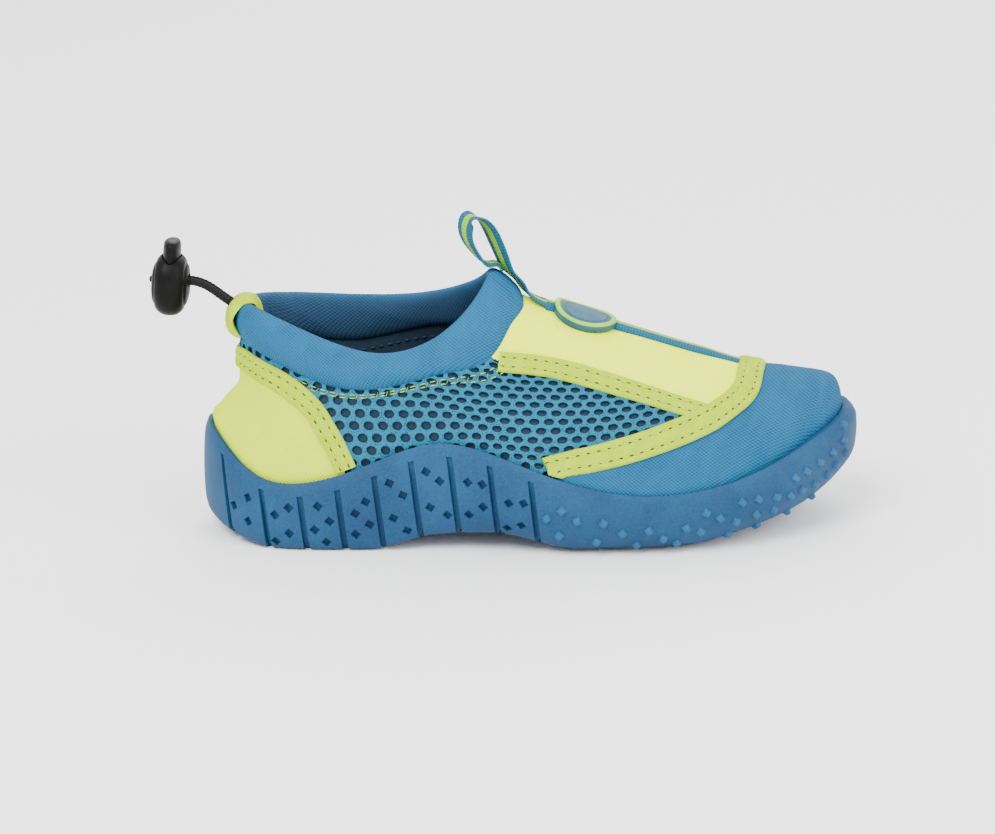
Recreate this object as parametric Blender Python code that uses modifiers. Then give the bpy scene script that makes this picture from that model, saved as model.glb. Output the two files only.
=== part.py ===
"""A child's slip-on water shoe, for the right foot, standing on its sole.

The upper, the sole, the collar and every strip sewn on them are cut from one surface, the last. The last is a net
of stations round the foot, from the heel along the outer side to the toe and back along the inner side, and of
levels up the foot, from the feather edge under the foot to the top of the collar.
+X points to the toe, +Y to the inner side of the foot and +Z up. The origin is the middle of the shoe's box, at
the floor. Lengths are in metres.
"""

import math

import bpy
import numpy as np
from mathutils import Matrix, Vector

MM = 0.001

# Driving sizes of the last
LAST_LENGTH = 182.5 * MM
BALL_WIDTH = 74.0 * MM
HEEL_WIDTH = 52.0 * MM
HEEL_HEIGHT = 67.0 * MM
INSTEP_HEIGHT = 74.5 * MM
ANKLE_DIP = 11.0 * MM
COLLAR_LENGTH = 72.0 * MM
COLLAR_WIDTH = 45.0 * MM
COLLAR_SETBACK = 9.3 * MM

# Driving sizes of the sole
COUNTER_HEIGHT = 34.0 * MM
TOE_SPRING = 17.0 * MM
ARCH_LIFT = 5.0 * MM
SOLE_THICKNESS = 8.0 * MM
FEATHER_INSET = 3.5 * MM
SOLE_FLARE = 3.2 * MM
HEEL_BEVEL = 5.0 * MM
GROOVE_PITCH = 10.95 * MM
GROOVE_WIDTH = 1.7 * MM
GROOVE_DEPTH = 1.5 * MM
GROOVE_LEAN = math.radians(6)
GROOVE_START = 6.2 * MM
GROOVE_BAND = 5.5 * MM
GROOVE_COUNT = 9

# Driving sizes of the soft parts
GAP = 0.3 * MM
FACET_ROOM = 0.2 * MM
UPPER_WALL = 2.2 * MM
COLLAR_THICKNESS = 7.0 * MM
COLLAR_FRONT_THICKNESS = 5.2 * MM
INSOLE_THICKNESS = 3.0 * MM
BAND_THICKNESS = 0.9 * MM
TOE_BAND_WIDTH = 7.5 * MM
EYESTAY_WIDTH = 6.0 * MM
HEEL_BAND_WIDTH = 5.5 * MM
TAPE_WIDTH = 9.5 * MM
TAPE_THICKNESS = 0.9 * MM
LOOP_LENGTH = 20.2 * MM
LOOP_OPENING = 8.0 * MM
BADGE_LENGTH = 18.8 * MM
BADGE_WIDTH = 16.0 * MM
BADGE_THICKNESS = 0.8 * MM
BADGE_RIM = 1.3 * MM
BADGE_RIM_HEIGHT = 0.5 * MM
TAB_THICKNESS = 0.9 * MM
TAB_STANDOFF = 0.7 * MM

# Driving sizes of the cord and its lock
CORD_DIAMETER = 2.1 * MM
CORD_SPACING = 2.8 * MM
CORD_REACH = 22.6 * MM
CORD_RISE = 8.4 * MM
CORD_START_IN = 0.9 * MM
CORD_START_DOWN = 2.4 * MM
LOCK_LENGTH = 11.0 * MM
LOCK_WIDTH = 16.0 * MM
LOCK_HEIGHT = 18.2 * MM
LOCK_LEAN = math.radians(5)
BUTTON_LENGTH = 5.0 * MM
BUTTON_WIDTH = 11.5 * MM
BUTTON_STANDS = 3.8 * MM
BUTTON_TRAVEL = 3.0 * MM
BUTTON_CLEARANCE = 0.35 * MM

# Net sizes of the meshes
AROUND = 60
SOLE_AROUND = 80
UPPER_LEVELS = [0.0, 0.5, 1.0, 1.5, 2.0, 2.5, 3.0, 3.4, 3.7, 4.0, 4.3, 4.6, 5.0, 5.4, 5.7, 6.0]
WALL_LEVELS = [6.0, 5.0, 4.0, 3.0, 2.0, 1.0, 0.5, 0.0]

# The outline of the last, seen from above at the sole's lip, and of the collar's top. foot_x is a share of the
# last's length and foot_y of its width there. top_x and top_y are shares of the collar's length and width, rise is
# a share of the way from the heel's height to the instep's, and dip a share of the ankle's dip.
OUTLINE = [
    # name, foot_x, foot_y, top_x, top_y, rise, dip, profile
    ("heel_back", 0.000, 0.000, 0.000, 0.000, 0.00, 0.00, "heel"),
    ("heel_back_outer", 0.026, -0.250, 0.042, -0.178, 0.00, 0.05, "heel"),
    ("heel_outer", 0.096, -0.455, 0.167, -0.344, 0.00, 0.27, "heel_side"),
    ("waist_back_outer", 0.230, -0.500, 0.382, -0.467, 0.00, 0.77, "wall"),
    ("waist_outer", 0.366, -0.475, 0.576, -0.500, 0.00, 1.00, "wall"),
    ("ball_back_outer", 0.514, -0.500, 0.750, -0.444, 0.06, 0.82, "flare"),
    ("ball_outer", 0.662, -0.513, 0.875, -0.333, 0.35, 0.50, "flare"),
    ("toe_back_outer", 0.805, -0.440, 0.944, -0.211, 0.66, 0.24, "vamp"),
    ("toe_outer", 0.925, -0.245, 0.986, -0.100, 0.91, 0.06, "toe_outer"),
    ("toe_tip", 1.000, 0.068, 1.000, 0.000, 1.00, 0.00, "toe"),
    ("toe_inner", 0.958, 0.320, 0.986, 0.100, 0.91, 0.05, "toe_inner"),
    ("toe_back_inner", 0.850, 0.450, 0.944, 0.211, 0.66, 0.16, "vamp"),
    ("ball_inner", 0.695, 0.487, 0.875, 0.333, 0.35, 0.24, "flare"),
    ("ball_back_inner", 0.514, 0.440, 0.750, 0.444, 0.10, 0.36, "flare"),
    ("waist_inner", 0.366, 0.425, 0.576, 0.500, 0.00, 0.42, "wall"),
    ("waist_back_inner", 0.230, 0.460, 0.382, 0.478, 0.00, 0.36, "wall"),
    ("heel_inner", 0.096, 0.435, 0.167, 0.356, 0.00, 0.18, "heel_side"),
    ("heel_back_inner", 0.026, 0.250, 0.042, 0.178, 0.00, 0.04, "heel"),
]
STATIONS = len(OUTLINE)
TOE = 9

# How the wall climbs from the sole's lip to the collar's top at each kind of station: along is the share of the
# way in from the lip's outline to the collar's, and up the share of the height.
PROFILES = {
    # name: (along, up) at low, shoulder, middle, high, seam and top
    "heel": ((0.10, 0.09), (0.52, 0.20), (0.84, 0.33), (0.88, 0.50), (0.95, 0.69), (1.0, 1.0)),
    "heel_side": ((0.08, 0.12), (0.30, 0.26), (0.55, 0.41), (0.72, 0.56), (0.87, 0.71), (1.0, 1.0)),
    "wall": ((0.09, 0.14), (0.20, 0.28), (0.34, 0.41), (0.50, 0.52), (0.67, 0.63), (1.0, 1.0)),
    "flare": ((0.12, 0.11), (0.27, 0.24), (0.44, 0.40), (0.63, 0.56), (0.838, 0.735), (1.0, 1.0)),
    "vamp": ((0.05, 0.17), (0.16, 0.33), (0.37, 0.475), (0.62, 0.655), (0.862, 0.821), (1.0, 1.0)),
    "toe_outer": ((0.02, 0.14), (0.11, 0.245), (0.36, 0.42), (0.64, 0.635), (0.885, 0.801), (1.0, 1.0)),
    "toe": ((0.015, 0.15), (0.08, 0.23), (0.32, 0.337), (0.62, 0.56), (0.915, 0.815), (1.0, 1.0)),
    "toe_inner": ((0.02, 0.12), (0.11, 0.19), (0.36, 0.35), (0.64, 0.595), (0.905, 0.805), (1.0, 1.0)),
}
FEATHER, LIP, LOW, SHOULDER, MIDDLE, HIGH, SEAM, TOP = range(8)

# The top edge of the sole, as shares of the last's length and of the heel counter's height
LIP_LINE = [
    # x, height
    (0.000, 0.940),
    (0.018, 0.880),
    (0.050, 0.680),
    (0.095, 0.590),
    (0.180, 0.625),
    (0.300, 0.830),
    (0.375, 0.940),
    (0.430, 0.915),
    (0.520, 0.720),
    (0.630, 0.550),
    (0.720, 0.530),
    (0.810, 0.600),
    (0.900, 0.755),
    (1.000, 0.940),
]

# The floor side of the sole and the seat inside it, as shares of the arch's lift, the toe's spring and the heel's
# bevel. The seat's own arch is longer and lower than the tread's.
GROUND_LINE = [
    # x, arch, spring, bevel, seat_arch
    (-0.02, 0.0, 0.00, 1.00, 0.00),
    (0.04, 0.0, 0.00, 0.35, 0.00),
    (0.10, 0.0, 0.00, 0.00, 0.00),
    (0.24, 0.0, 0.00, 0.00, 0.25),
    (0.36, 0.9, 0.00, 0.00, 0.50),
    (0.44, 1.0, 0.00, 0.00, 0.50),
    (0.58, 0.0, 0.00, 0.00, 0.20),
    (0.73, 0.0, 0.00, 0.00, 0.00),
    (0.84, 0.0, 0.17, 0.00, 0.00),
    (0.93, 0.0, 0.36, 0.00, 0.00),
    (1.00, 0.0, 0.66, 0.00, 0.00),
]

# The sole's side from the tread to the rim: out is a share of the flare beyond the lip's outline, and up a share
# of the height from the floor side to the lip. Each has a value at the heel, at the ball and at the toe.
SOLE_SECTION = [
    # name, heel_out, heel_up, ball_out, ball_up, toe_out, toe_up
    ("tread", 0.20, 0.00, -2.70, 0.00, -3.20, 0.00),
    ("edge", 0.80, 0.04, -1.30, 0.07, 0.10, 0.10),
    ("corner", 1.05, 0.17, 0.00, 0.28, 1.25, 0.34),
    ("side", 1.05, 0.52, 0.75, 0.64, 1.45, 0.66),
    ("rim", 0.85, 0.88, 0.72, 0.90, 1.35, 0.90),
    ("crown", 0.45, 1.00, 0.42, 1.00, 0.70, 1.00),
]


def smooth_line(table, x, column):
    """The table's column at x, along a curve with no overshoot that stays flat where two rows agree."""
    xs = np.array([row[0] for row in table])
    ys = np.array([row[column] for row in table])
    steps = np.diff(xs)
    slopes = np.diff(ys) / steps
    tangents = np.zeros(len(xs))
    tangents[0], tangents[-1] = slopes[0], slopes[-1]
    for i in range(1, len(xs) - 1):
        if slopes[i - 1] * slopes[i] > 0:
            tangents[i] = 2 * slopes[i - 1] * slopes[i] / (slopes[i - 1] + slopes[i])
    x = np.clip(x, xs[0], xs[-1])
    i = np.clip(np.searchsorted(xs, x, side="right") - 1, 0, len(steps) - 1)
    t = (x - xs[i]) / steps[i]
    return (
        ys[i] * (1 + 2 * t) * (1 - t) ** 2
        + tangents[i] * steps[i] * t * (1 - t) ** 2
        + ys[i + 1] * t**2 * (3 - 2 * t)
        + tangents[i + 1] * steps[i] * t**2 * (t - 1)
    )


def spline_bends(knots, closed):
    """The matrix that turns the values at the knots into a cubic spline's second derivatives there."""
    gaps = np.diff(knots)
    n = len(gaps) if closed else len(knots)
    left, right = np.zeros((n, n)), np.zeros((n, n))
    for i in range(n):
        if not closed and i in (0, n - 1):
            left[i, i] = 1.0
            continue
        before, after = gaps[i - 1], gaps[i]
        left[i, i - 1] += before
        left[i, i] += 2 * (before + after)
        left[i, (i + 1) % n] += after
        right[i, i - 1] += 6 / before
        right[i, i] -= 6 / before + 6 / after
        right[i, (i + 1) % n] += 6 / after
    return np.linalg.solve(left, right)


def spline_weights(knots, bends, at):
    """For each place, the weight of each knot's value in the spline there."""
    gaps = np.diff(knots)
    i = np.clip(np.searchsorted(knots, at, side="right") - 1, 0, len(gaps) - 1)
    h = gaps[i]
    b = (at - knots[i]) / h
    a = 1 - b
    n = bends.shape[0]
    low, high = np.eye(n)[i], np.eye(n)[(i + 1) % n]
    curve_low = ((a**3 - a) * h**2 / 6)[:, None] * bends[i]
    curve_high = ((b**3 - b) * h**2 / 6)[:, None] * bends[(i + 1) % n]
    return a[:, None] * low + b[:, None] * high + curve_low + curve_high


def tread_height(x):
    """Height of the tread at x, measured from the back of the last."""
    arch, spring, bevel = (smooth_line(GROUND_LINE, x / LAST_LENGTH, column) for column in (1, 2, 3))
    return ARCH_LIFT * arch + TOE_SPRING * spring + HEEL_BEVEL * bevel


def seat_height(x):
    """Height of the sole's seat at x, which carries the upper's lower edge and the insole."""
    spring, arch = (smooth_line(GROUND_LINE, x / LAST_LENGTH, column) for column in (2, 4))
    return SOLE_THICKNESS + ARCH_LIFT * arch + TOE_SPRING * spring


def width_at(share):
    """The width that the outline's shares refer to: the heel's at the back, the ball's from the ball on."""
    blend = np.clip((share - 0.15) / 0.45, 0, 1)
    return HEEL_WIDTH + (BALL_WIDTH - HEEL_WIDTH) * blend * blend * (3 - 2 * blend)


def outward(points):
    """The level direction that points out of a closed outline, at each of its points."""
    along = np.roll(points, -1, axis=0) - np.roll(points, 1, axis=0)
    out = np.stack([along[:, 1], -along[:, 0], np.zeros(len(points))], axis=1)
    return out / np.linalg.norm(out, axis=1, keepdims=True)


def control_net():
    """The last's control points, by station and level."""
    net = np.zeros((STATIONS, 8, 3))
    for i, (_, foot_x, foot_y, top_x, top_y, rise, dip, profile) in enumerate(OUTLINE):
        lip_z = COUNTER_HEIGHT * smooth_line(LIP_LINE, foot_x, 1)
        lip = np.array([foot_x * LAST_LENGTH, foot_y * width_at(foot_x), lip_z])
        top_z = HEEL_HEIGHT + rise * (INSTEP_HEIGHT - HEEL_HEIGHT) - dip * ANKLE_DIP
        top = np.array([COLLAR_SETBACK + top_x * COLLAR_LENGTH, top_y * COLLAR_WIDTH, top_z])
        net[i, LIP] = lip
        for level, (along, up) in enumerate(PROFILES[profile], start=LOW):
            net[i, level, :2] = lip[:2] + along * (top - lip)[:2]
            net[i, level, 2] = lip[2] + up * (top - lip)[2]
    feather = net[:, LIP] - FEATHER_INSET * outward(net[:, LIP])
    feather[:, 2] = seat_height(feather[:, 0])
    net[:, FEATHER] = feather
    return net


NET = control_net()
CLOSED_NET = np.concatenate([NET, NET[:1]])
STATION_KNOTS = np.concatenate(
    [[0], np.cumsum(np.sqrt(np.linalg.norm(np.diff(CLOSED_NET[:, LIP], axis=0), axis=1)))]
)
LEVEL_KNOTS = np.concatenate(
    [[0], np.cumsum(np.sqrt(np.linalg.norm(np.diff(NET, axis=1), axis=2)).mean(axis=0))]
)
STATION_BENDS = spline_bends(STATION_KNOTS, closed=True)
LEVEL_BENDS = spline_bends(LEVEL_KNOTS, closed=False)


def net_point(s, t):
    """A point of the last at knot coordinates s round the foot and t up it."""
    over_stations = spline_weights(STATION_KNOTS, STATION_BENDS, np.mod(s, STATION_KNOTS[-1]))
    over_levels = spline_weights(LEVEL_KNOTS, LEVEL_BENDS, t)
    return np.einsum("pi,pj,ijk->pk", over_stations, over_levels, NET)


def last(station, level, lift=0.0):
    """Points of the last at these stations and levels, lifted off it along its normal."""
    station, level, lift = np.broadcast_arrays(*(np.asarray(v, float) for v in (station, level, lift)))
    shape = station.shape
    s = np.interp(np.mod(station.ravel(), STATIONS), range(STATIONS + 1), STATION_KNOTS)
    t = np.interp(level.ravel(), range(len(LEVEL_KNOTS)), LEVEL_KNOTS)
    step = 0.002
    points = net_point(s, t)
    round_it = net_point(s + step, t) - net_point(s - step, t)
    up_it = net_point(s, t + step) - net_point(s, t - step)
    normals = np.cross(round_it, up_it)
    normals /= np.linalg.norm(normals, axis=1, keepdims=True)
    return (points + normals * lift.ravel()[:, None]).reshape(*shape, 3)


def stations_round(count):
    """Station coordinates of this many columns, spread round the last so that each has a mirror at the same x."""
    fine = np.linspace(0, TOE, 500)
    lip_x = last(fine, LIP)[:, 0]
    other = STATIONS - (STATIONS - TOE) * np.linspace(0, 1, 500)
    other_x = last(other, LIP)[:, 0]
    half = np.linspace(0, np.interp(TOE, range(STATIONS + 1), STATION_KNOTS), count // 2 + 1)
    outer = np.interp(half, STATION_KNOTS, range(STATIONS + 1))
    level = np.maximum.accumulate(np.interp(outer, fine, lip_x))
    inner = np.interp(level, np.maximum.accumulate(other_x), other)
    return np.concatenate([outer, inner[-2:0:-1]])


# Mesh helpers

ASSEMBLY = bpy.data.collections.new("water_shoe")
CUTTERS = bpy.data.collections.new("cutters")


def clear_scene():
    for obj in list(bpy.data.objects):
        bpy.data.objects.remove(obj)
    for collection in (ASSEMBLY, CUTTERS):
        bpy.context.scene.collection.children.link(collection)


def finish(name, color, roughness, metallic=0.0):
    """A Principled material."""
    material = bpy.data.materials.new(name)
    material.use_nodes = True
    shader = material.node_tree.nodes["Principled BSDF"]
    shader.inputs["Base Color"].default_value = (*color, 1.0)
    shader.inputs["Roughness"].default_value = roughness
    shader.inputs["Metallic"].default_value = metallic
    return material


def add_mesh(name, points, faces, material=None, collection=None):
    mesh = bpy.data.meshes.new(name)
    mesh.from_pydata([tuple(p) for p in points], [], [tuple(f) for f in faces])
    mesh.validate()
    mesh.shade_smooth()
    mesh.set_sharp_from_angle(angle=math.radians(40))
    obj = bpy.data.objects.new(name, mesh)
    if material:
        mesh.materials.append(material)
    (collection or ASSEMBLY).objects.link(obj)
    return obj


def ring_faces(count, rings, closed_rings):
    """Quads between neighbouring rings of this many points, and from the last ring to the first if asked."""
    faces = []
    for r in range(rings if closed_rings else rings - 1):
        low, high = r * count, (r + 1) % rings * count
        for i in range(count):
            j = (i + 1) % count
            faces.append((low + i, low + j, high + j, high + i))
    return faces


def ladder_faces(count, start, upward):
    """A flat end over a ring: rungs from each point of the outer side to its mirror on the inner side."""
    faces = []
    for i in range(count // 2):
        a, b, c, d = i, i + 1, count - i - 1, (count - i) % count
        face = [start + v for v in dict.fromkeys((a, b, c, d))]
        faces.append(face if upward else face[::-1])
    return faces


def add_shell(name, rings, material):
    """A tube-like wall: rings run up its outer face and down its inner face, and then meet."""
    rings = np.array(rings)
    return add_mesh(name, rings.reshape(-1, 3), ring_faces(rings.shape[1], len(rings), True), material)


def add_bowl(name, rings, material, collection=None):
    """A solid whose rings run from the middle of its underside, out and up, and back in to the middle of its top."""
    rings = np.array(rings)
    count = rings.shape[1]
    faces = ring_faces(count, len(rings), False)
    faces += ladder_faces(count, 0, upward=False)
    faces += ladder_faces(count, (len(rings) - 1) * count, upward=True)
    return add_mesh(name, rings.reshape(-1, 3), faces, material, collection)


def add_sweep(name, sections, material, collection=None):
    """A solid through sections of as many points each, with flat ends."""
    count, size = sections.shape[:2]
    faces = ring_faces(size, count, False)
    faces.append(range(size)[::-1])
    faces.append(range((count - 1) * size, count * size))
    return add_mesh(name, sections.reshape(-1, 3), faces, material, collection)


def cut(obj, cutter, operation="DIFFERENCE"):
    cutter.hide_render = True
    cutter.display_type = "WIRE"
    modifier = obj.modifiers.new(cutter.name, "BOOLEAN")
    modifier.operation = operation
    modifier.object = cutter


# Pieces of the shoe


def build_upper(material):
    """The hollow upper: one wall, open at the collar and underneath."""
    stations = stations_round(AROUND)
    outer = [last(stations, level) for level in UPPER_LEVELS]
    inner = [last(stations, level, -UPPER_WALL) for level in WALL_LEVELS]
    return add_shell("upper", outer + inner, material)


def sole_ring(stations, row):
    """A ring of the sole's outer face."""
    lip = last(stations, LIP)
    share = lip[:, 0] / LAST_LENGTH
    to_toe = np.clip((share - 0.72) / 0.28, 0, 1)
    to_ball = np.clip((share - 0.30) / 0.32, 0, 1)
    _, heel_out, heel_up, ball_out, ball_up, toe_out, toe_up = row
    out = heel_out + (ball_out - heel_out) * to_ball + (toe_out - ball_out) * to_toe
    up = heel_up + (ball_up - heel_up) * to_ball + (toe_up - ball_up) * to_toe
    points = lip + outward(lip) * (out * SOLE_FLARE)[:, None]
    base = tread_height(points[:, 0])
    points[:, 2] = base + up * (lip[:, 2] - base)
    return points


def build_sole(material):
    """The moulded cup sole: tread, side, rim and the seat that takes the upper, with the grooves cut in its side."""
    stations = stations_round(SOLE_AROUND)
    rings = [sole_ring(stations, row) for row in SOLE_SECTION]
    rings += [last(stations, level, GAP) for level in (0.9, 0.55, 0.2)]
    floor = last(stations, 0.0, GAP)
    floor[:, 2] -= GAP
    rings.append(floor)
    sole = add_bowl("outsole", rings, material)
    for side, name in ((-1, "outer"), (1, "inner")):
        for i in range(GROOVE_COUNT):
            cut(sole, groove_cutter(f"groove_{name}_{i + 1}", GROOVE_START + i * GROOVE_PITCH, side))
    return sole


def groove_cutter(name, x, side):
    """A leaning bar that cuts one upright groove in the side of the sole, from below the rim through the tread."""
    stations = np.linspace(0.3, TOE - 1, 200)
    stations = stations if side < 0 else STATIONS - stations
    lip = last(stations, LIP)
    station = stations[np.abs(lip[:, 0] - x).argmin()]
    at = last(station, LIP)
    out = outward(last(station + np.array([-0.01, 0, 0.01]), LIP))[1]
    bottom, height = -2 * MM, at[2] - GROOVE_BAND + 2 * MM
    face = at + out * (SOLE_FLARE - GROOVE_DEPTH)
    bpy.ops.mesh.primitive_cube_add(size=1.0)
    bar = bpy.context.object
    bar.name = name
    bar.data.transform(Matrix.Diagonal((GROOVE_WIDTH, 6 * MM, height, 1.0)))
    bar.data.transform(Matrix.Translation((0, 3 * MM, height / 2)))
    turn = math.atan2(out[1], out[0]) - math.pi / 2
    lean = Matrix.Rotation(-side * GROOVE_LEAN, 4, "Y")
    place = Matrix.Translation((face[0], face[1], bottom))
    bar.data.transform(place @ Matrix.Rotation(turn, 4, "Z") @ lean)
    for collection in bar.users_collection:
        collection.objects.unlink(bar)
    CUTTERS.objects.link(bar)
    return bar


def build_insole(material):
    """The footbed, inside the upper and on the sole's seat."""
    stations = stations_round(SOLE_AROUND)
    low = last(stations, FEATHER, -(UPPER_WALL + GAP + FACET_ROOM))
    low[:, 2] = seat_height(low[:, 0]) + FACET_ROOM
    high = low + (0, 0, INSOLE_THICKNESS)
    return add_bowl("insole", [low, high], material)


def collar_frame(stations):
    """Centre of the padded collar at these stations, with its directions up the wall and out of it."""
    low, high = last(stations, SEAM, -UPPER_WALL / 2), last(stations, TOP, -UPPER_WALL / 2)
    up = high - low
    height = np.linalg.norm(up, axis=1, keepdims=True)
    up /= height
    centre = (low + high + up * GAP) / 2
    out = last(stations, (SEAM + TOP) / 2, MM) - last(stations, (SEAM + TOP) / 2)
    out -= up * np.sum(out * up, axis=1, keepdims=True)
    out /= np.linalg.norm(out, axis=1, keepdims=True)
    return centre, up, out, height[:, 0] - GAP


def collar_thickness(centre):
    """The roll's thickness, which is thinner at the throat."""
    front = np.clip(((centre[:, 0] - COLLAR_SETBACK) / COLLAR_LENGTH - 0.75) / 0.25, 0, 1)
    return COLLAR_THICKNESS + (COLLAR_FRONT_THICKNESS - COLLAR_THICKNESS) * front


def collar_section(stations, sides=10):
    """Rings of the collar's padded section."""
    centre, up, out, height = collar_frame(stations)
    thickness = collar_thickness(centre)
    rings = []
    for k in range(sides):
        angle = 2 * math.pi * k / sides
        rise, depth = math.sin(angle), math.cos(angle)
        rings.append(
            centre
            + up * (height / 2 * rise)[:, None]
            + out * (thickness / 2 * math.copysign(abs(depth) ** 0.8, depth))[:, None]
        )
    return np.array(rings)


def build_collar(material):
    """The padded roll round the opening, with a hole at the heel where the cord comes out."""
    stations = stations_round(AROUND)
    collar = add_shell("collar", collar_section(stations), material)
    for side in (-1, 1):
        cut(collar, cord_hole(f"collar_cord_hole_{side + 2}", side))
    return collar


# Bands, tape and badge lie on the last along paths of (station, level). Those on both sides of the foot are given
# for the outer side.
HEEL_BAND_PATH = [
    (2.91, 1.12),
    (2.88, 1.6),
    (2.82, 2.5),
    (2.68, 3.85),
    (2.45, 4.9),
    (2.1, 5.38),
    (1.55, 5.45),
    (0.78, 5.38),
]
TOE_BAND_PATH = [
    (5.14, 1.35),
    (5.45, 2.15),
    (6.0, 2.68),
    (6.5, 2.75),
    (7.0, 2.85),
    (7.5, 3.12),
    (8.1, 3.42),
    (8.55, 3.68),
]
EYESTAY_PATH = [(6.17, 5.86), (6.4, 5.55), (6.64, 5.15), (6.9, 4.5), (7.1, 3.85), (7.25, 3.2)]
TAPE_PATH = [(TOE, 4.08), (TOE, 4.6), (TOE, 5.2), (TOE, 5.72)]
BADGE_CENTRE = (TOE - 0.32, 5.36)
TOE_MIDDLE = (TOE, 3.78)
HEEL_MIDDLE = (0.0, 5.1)
BAND_FOOT = 1.1


def both_sides(path, middle):
    """A path over the foot: the outer side's, a middle point and the outer side's mirror."""
    turn = 2 * middle[0]
    return path + [middle] + [(turn - station, level) for station, level in path[::-1]]


def inner_side(path):
    return [(STATIONS - station, level) for station, level in path]


def spline_through(points, count):
    """Evenly spread points on a natural spline through these."""
    points = np.asarray(points, float)
    knots = np.concatenate([[0], np.cumsum(np.linalg.norm(np.diff(points, axis=0), axis=1))])
    weights = spline_weights(knots, spline_bends(knots, closed=False), np.linspace(0, knots[-1], count))
    return weights @ points


def last_axes(station, level):
    """The last's two derivatives, by station and by level, and its unit normal."""
    step = 0.02
    by_station = (last(station + step, level) - last(station - step, level)) / (2 * step)
    by_level = (last(station, level + step) - last(station, level - step)) / (2 * step)
    normal = np.cross(by_station, by_level)
    return by_station, by_level, normal / np.linalg.norm(normal, axis=-1, keepdims=True)


def beside(station, level, direction, distance, steps=1):
    """The station and level that lie this far from a place of the last in a direction along its surface."""
    for _ in range(steps):
        by_station, by_level, _ = last_axes(station, level)
        axes = np.stack([by_station, by_level], axis=1)
        step = np.linalg.lstsq(axes, direction * distance / steps, rcond=None)[0]
        length = np.linalg.norm(axes @ step)
        wanted = np.linalg.norm(direction * distance) / steps
        step *= wanted / max(length, 1e-9)
        station, level = station + step[0], level + step[1]
    return station, level


def band_sections(path, width, low, high, count, columns=3):
    """Sections of a band on the last, between two heights above it: over its underside and back over its face."""
    sections = []
    places = spline_through(path, count)
    ahead = np.gradient(last(places[:, 0], places[:, 1]), axis=0)
    for (station, level), along in zip(places, ahead):
        normal = last_axes(station, level)[2]
        across = np.cross(normal, along)
        across /= np.linalg.norm(across)
        row = [beside(station, level, across, width * (c / (columns - 1) - 0.5)) for c in range(columns)]
        row = np.array(row)
        row[:, 1] = np.maximum(row[:, 1], BAND_FOOT)
        under = last(row[:, 0], row[:, 1], low)
        face = last(row[:, 0], row[:, 1], high)
        sections.append(np.concatenate([under, face[::-1]]))
    return np.array(sections)


def build_band(name, path, width, count, material):
    sections = band_sections(path, width, GAP, GAP + BAND_THICKNESS, count)
    return add_sweep(name, sections, material)


def build_bands(material):
    """The folded strips sewn over the edges of the panels."""
    toe_path = both_sides(TOE_BAND_PATH, TOE_MIDDLE)
    build_band("toe_band", toe_path, TOE_BAND_WIDTH, 40, material)
    build_band("heel_band", both_sides(HEEL_BAND_PATH, HEEL_MIDDLE), HEEL_BAND_WIDTH, 38, material)
    for name, path in (("outer", EYESTAY_PATH), ("inner", inner_side(EYESTAY_PATH))):
        band = build_band(f"eyestay_{name}", path, EYESTAY_WIDTH, 12, material)
        room = band_sections(toe_path, TOE_BAND_WIDTH + 2 * GAP, -MM, 3 * MM, 40)
        cut(band, add_sweep(f"toe_band_room_{name}", room, None, CUTTERS))


def throat_frame():
    """Centre of the collar at the throat with its directions up and out, and its half height and half thickness."""
    centre, up, out, height = collar_frame(np.array([float(TOE)]))
    return centre[0], up[0], out[0], height[0] / 2, COLLAR_FRONT_THICKNESS / 2


def loop_path():
    """Middle line of the pull loop: up the front of the collar, back over it as a drop, and down to the collar."""
    centre, up, out, tall, thick = throat_frame()
    clear = thick + GAP + TAPE_THICKNESS / 2
    lean = (up + out * 0.36) / np.linalg.norm(up + out * 0.36)
    side = np.array([lean[2], 0.0, -lean[0]])
    foot = centre + up * 0.25 * tall + out * (clear + TAPE_THICKNESS + GAP)
    drop = [
        # share of the loop's length, share of its opening from the upper band to the lower
        (0.25, 0.03),
        (0.50, 0.02),
        (0.75, 0.06),
        (0.93, 0.27),
        (0.99, 0.55),
        (0.90, 0.84),
        (0.70, 1.00),
        (0.45, 0.92),
        (0.22, 0.62),
    ]
    points = [
        centre - up * 0.95 * tall + out * (thick * 0.75 + GAP + TAPE_THICKNESS / 2),
        centre - up * 0.45 * tall + out * (clear + 0.5 * GAP),
        foot,
    ]
    points += [foot + lean * along * LOOP_LENGTH - side * down * LOOP_OPENING for along, down in drop]
    points.append(centre + up * 0.62 * tall + out * clear)
    return points


def build_tape(material):
    """The woven tape down the middle of the vamp, whose upper end is folded back into the pull loop."""
    low = GAP + FACET_ROOM
    high = low + TAPE_THICKNESS
    vamp = band_sections(TAPE_PATH, TAPE_WIDTH, low, high, 14, columns=5)
    middle = vamp[-1].mean(axis=0)
    path = spline_through([middle] + loop_path(), 34)[1:]
    ahead = np.gradient(path, axis=0)
    sections = list(vamp)
    for point, along in zip(path, ahead):
        along /= np.linalg.norm(along)
        across = np.array([0.0, -1.0, 0.0])
        face = np.cross(along, across)
        row = np.linspace(-0.5, 0.5, 5)[:, None] * across * TAPE_WIDTH
        under = point + row - face * TAPE_THICKNESS / 2
        top = point + row + face * TAPE_THICKNESS / 2
        sections.append(np.concatenate([under, top[::-1]]))
    return add_sweep("centre_tape", np.array(sections), material)


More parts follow.
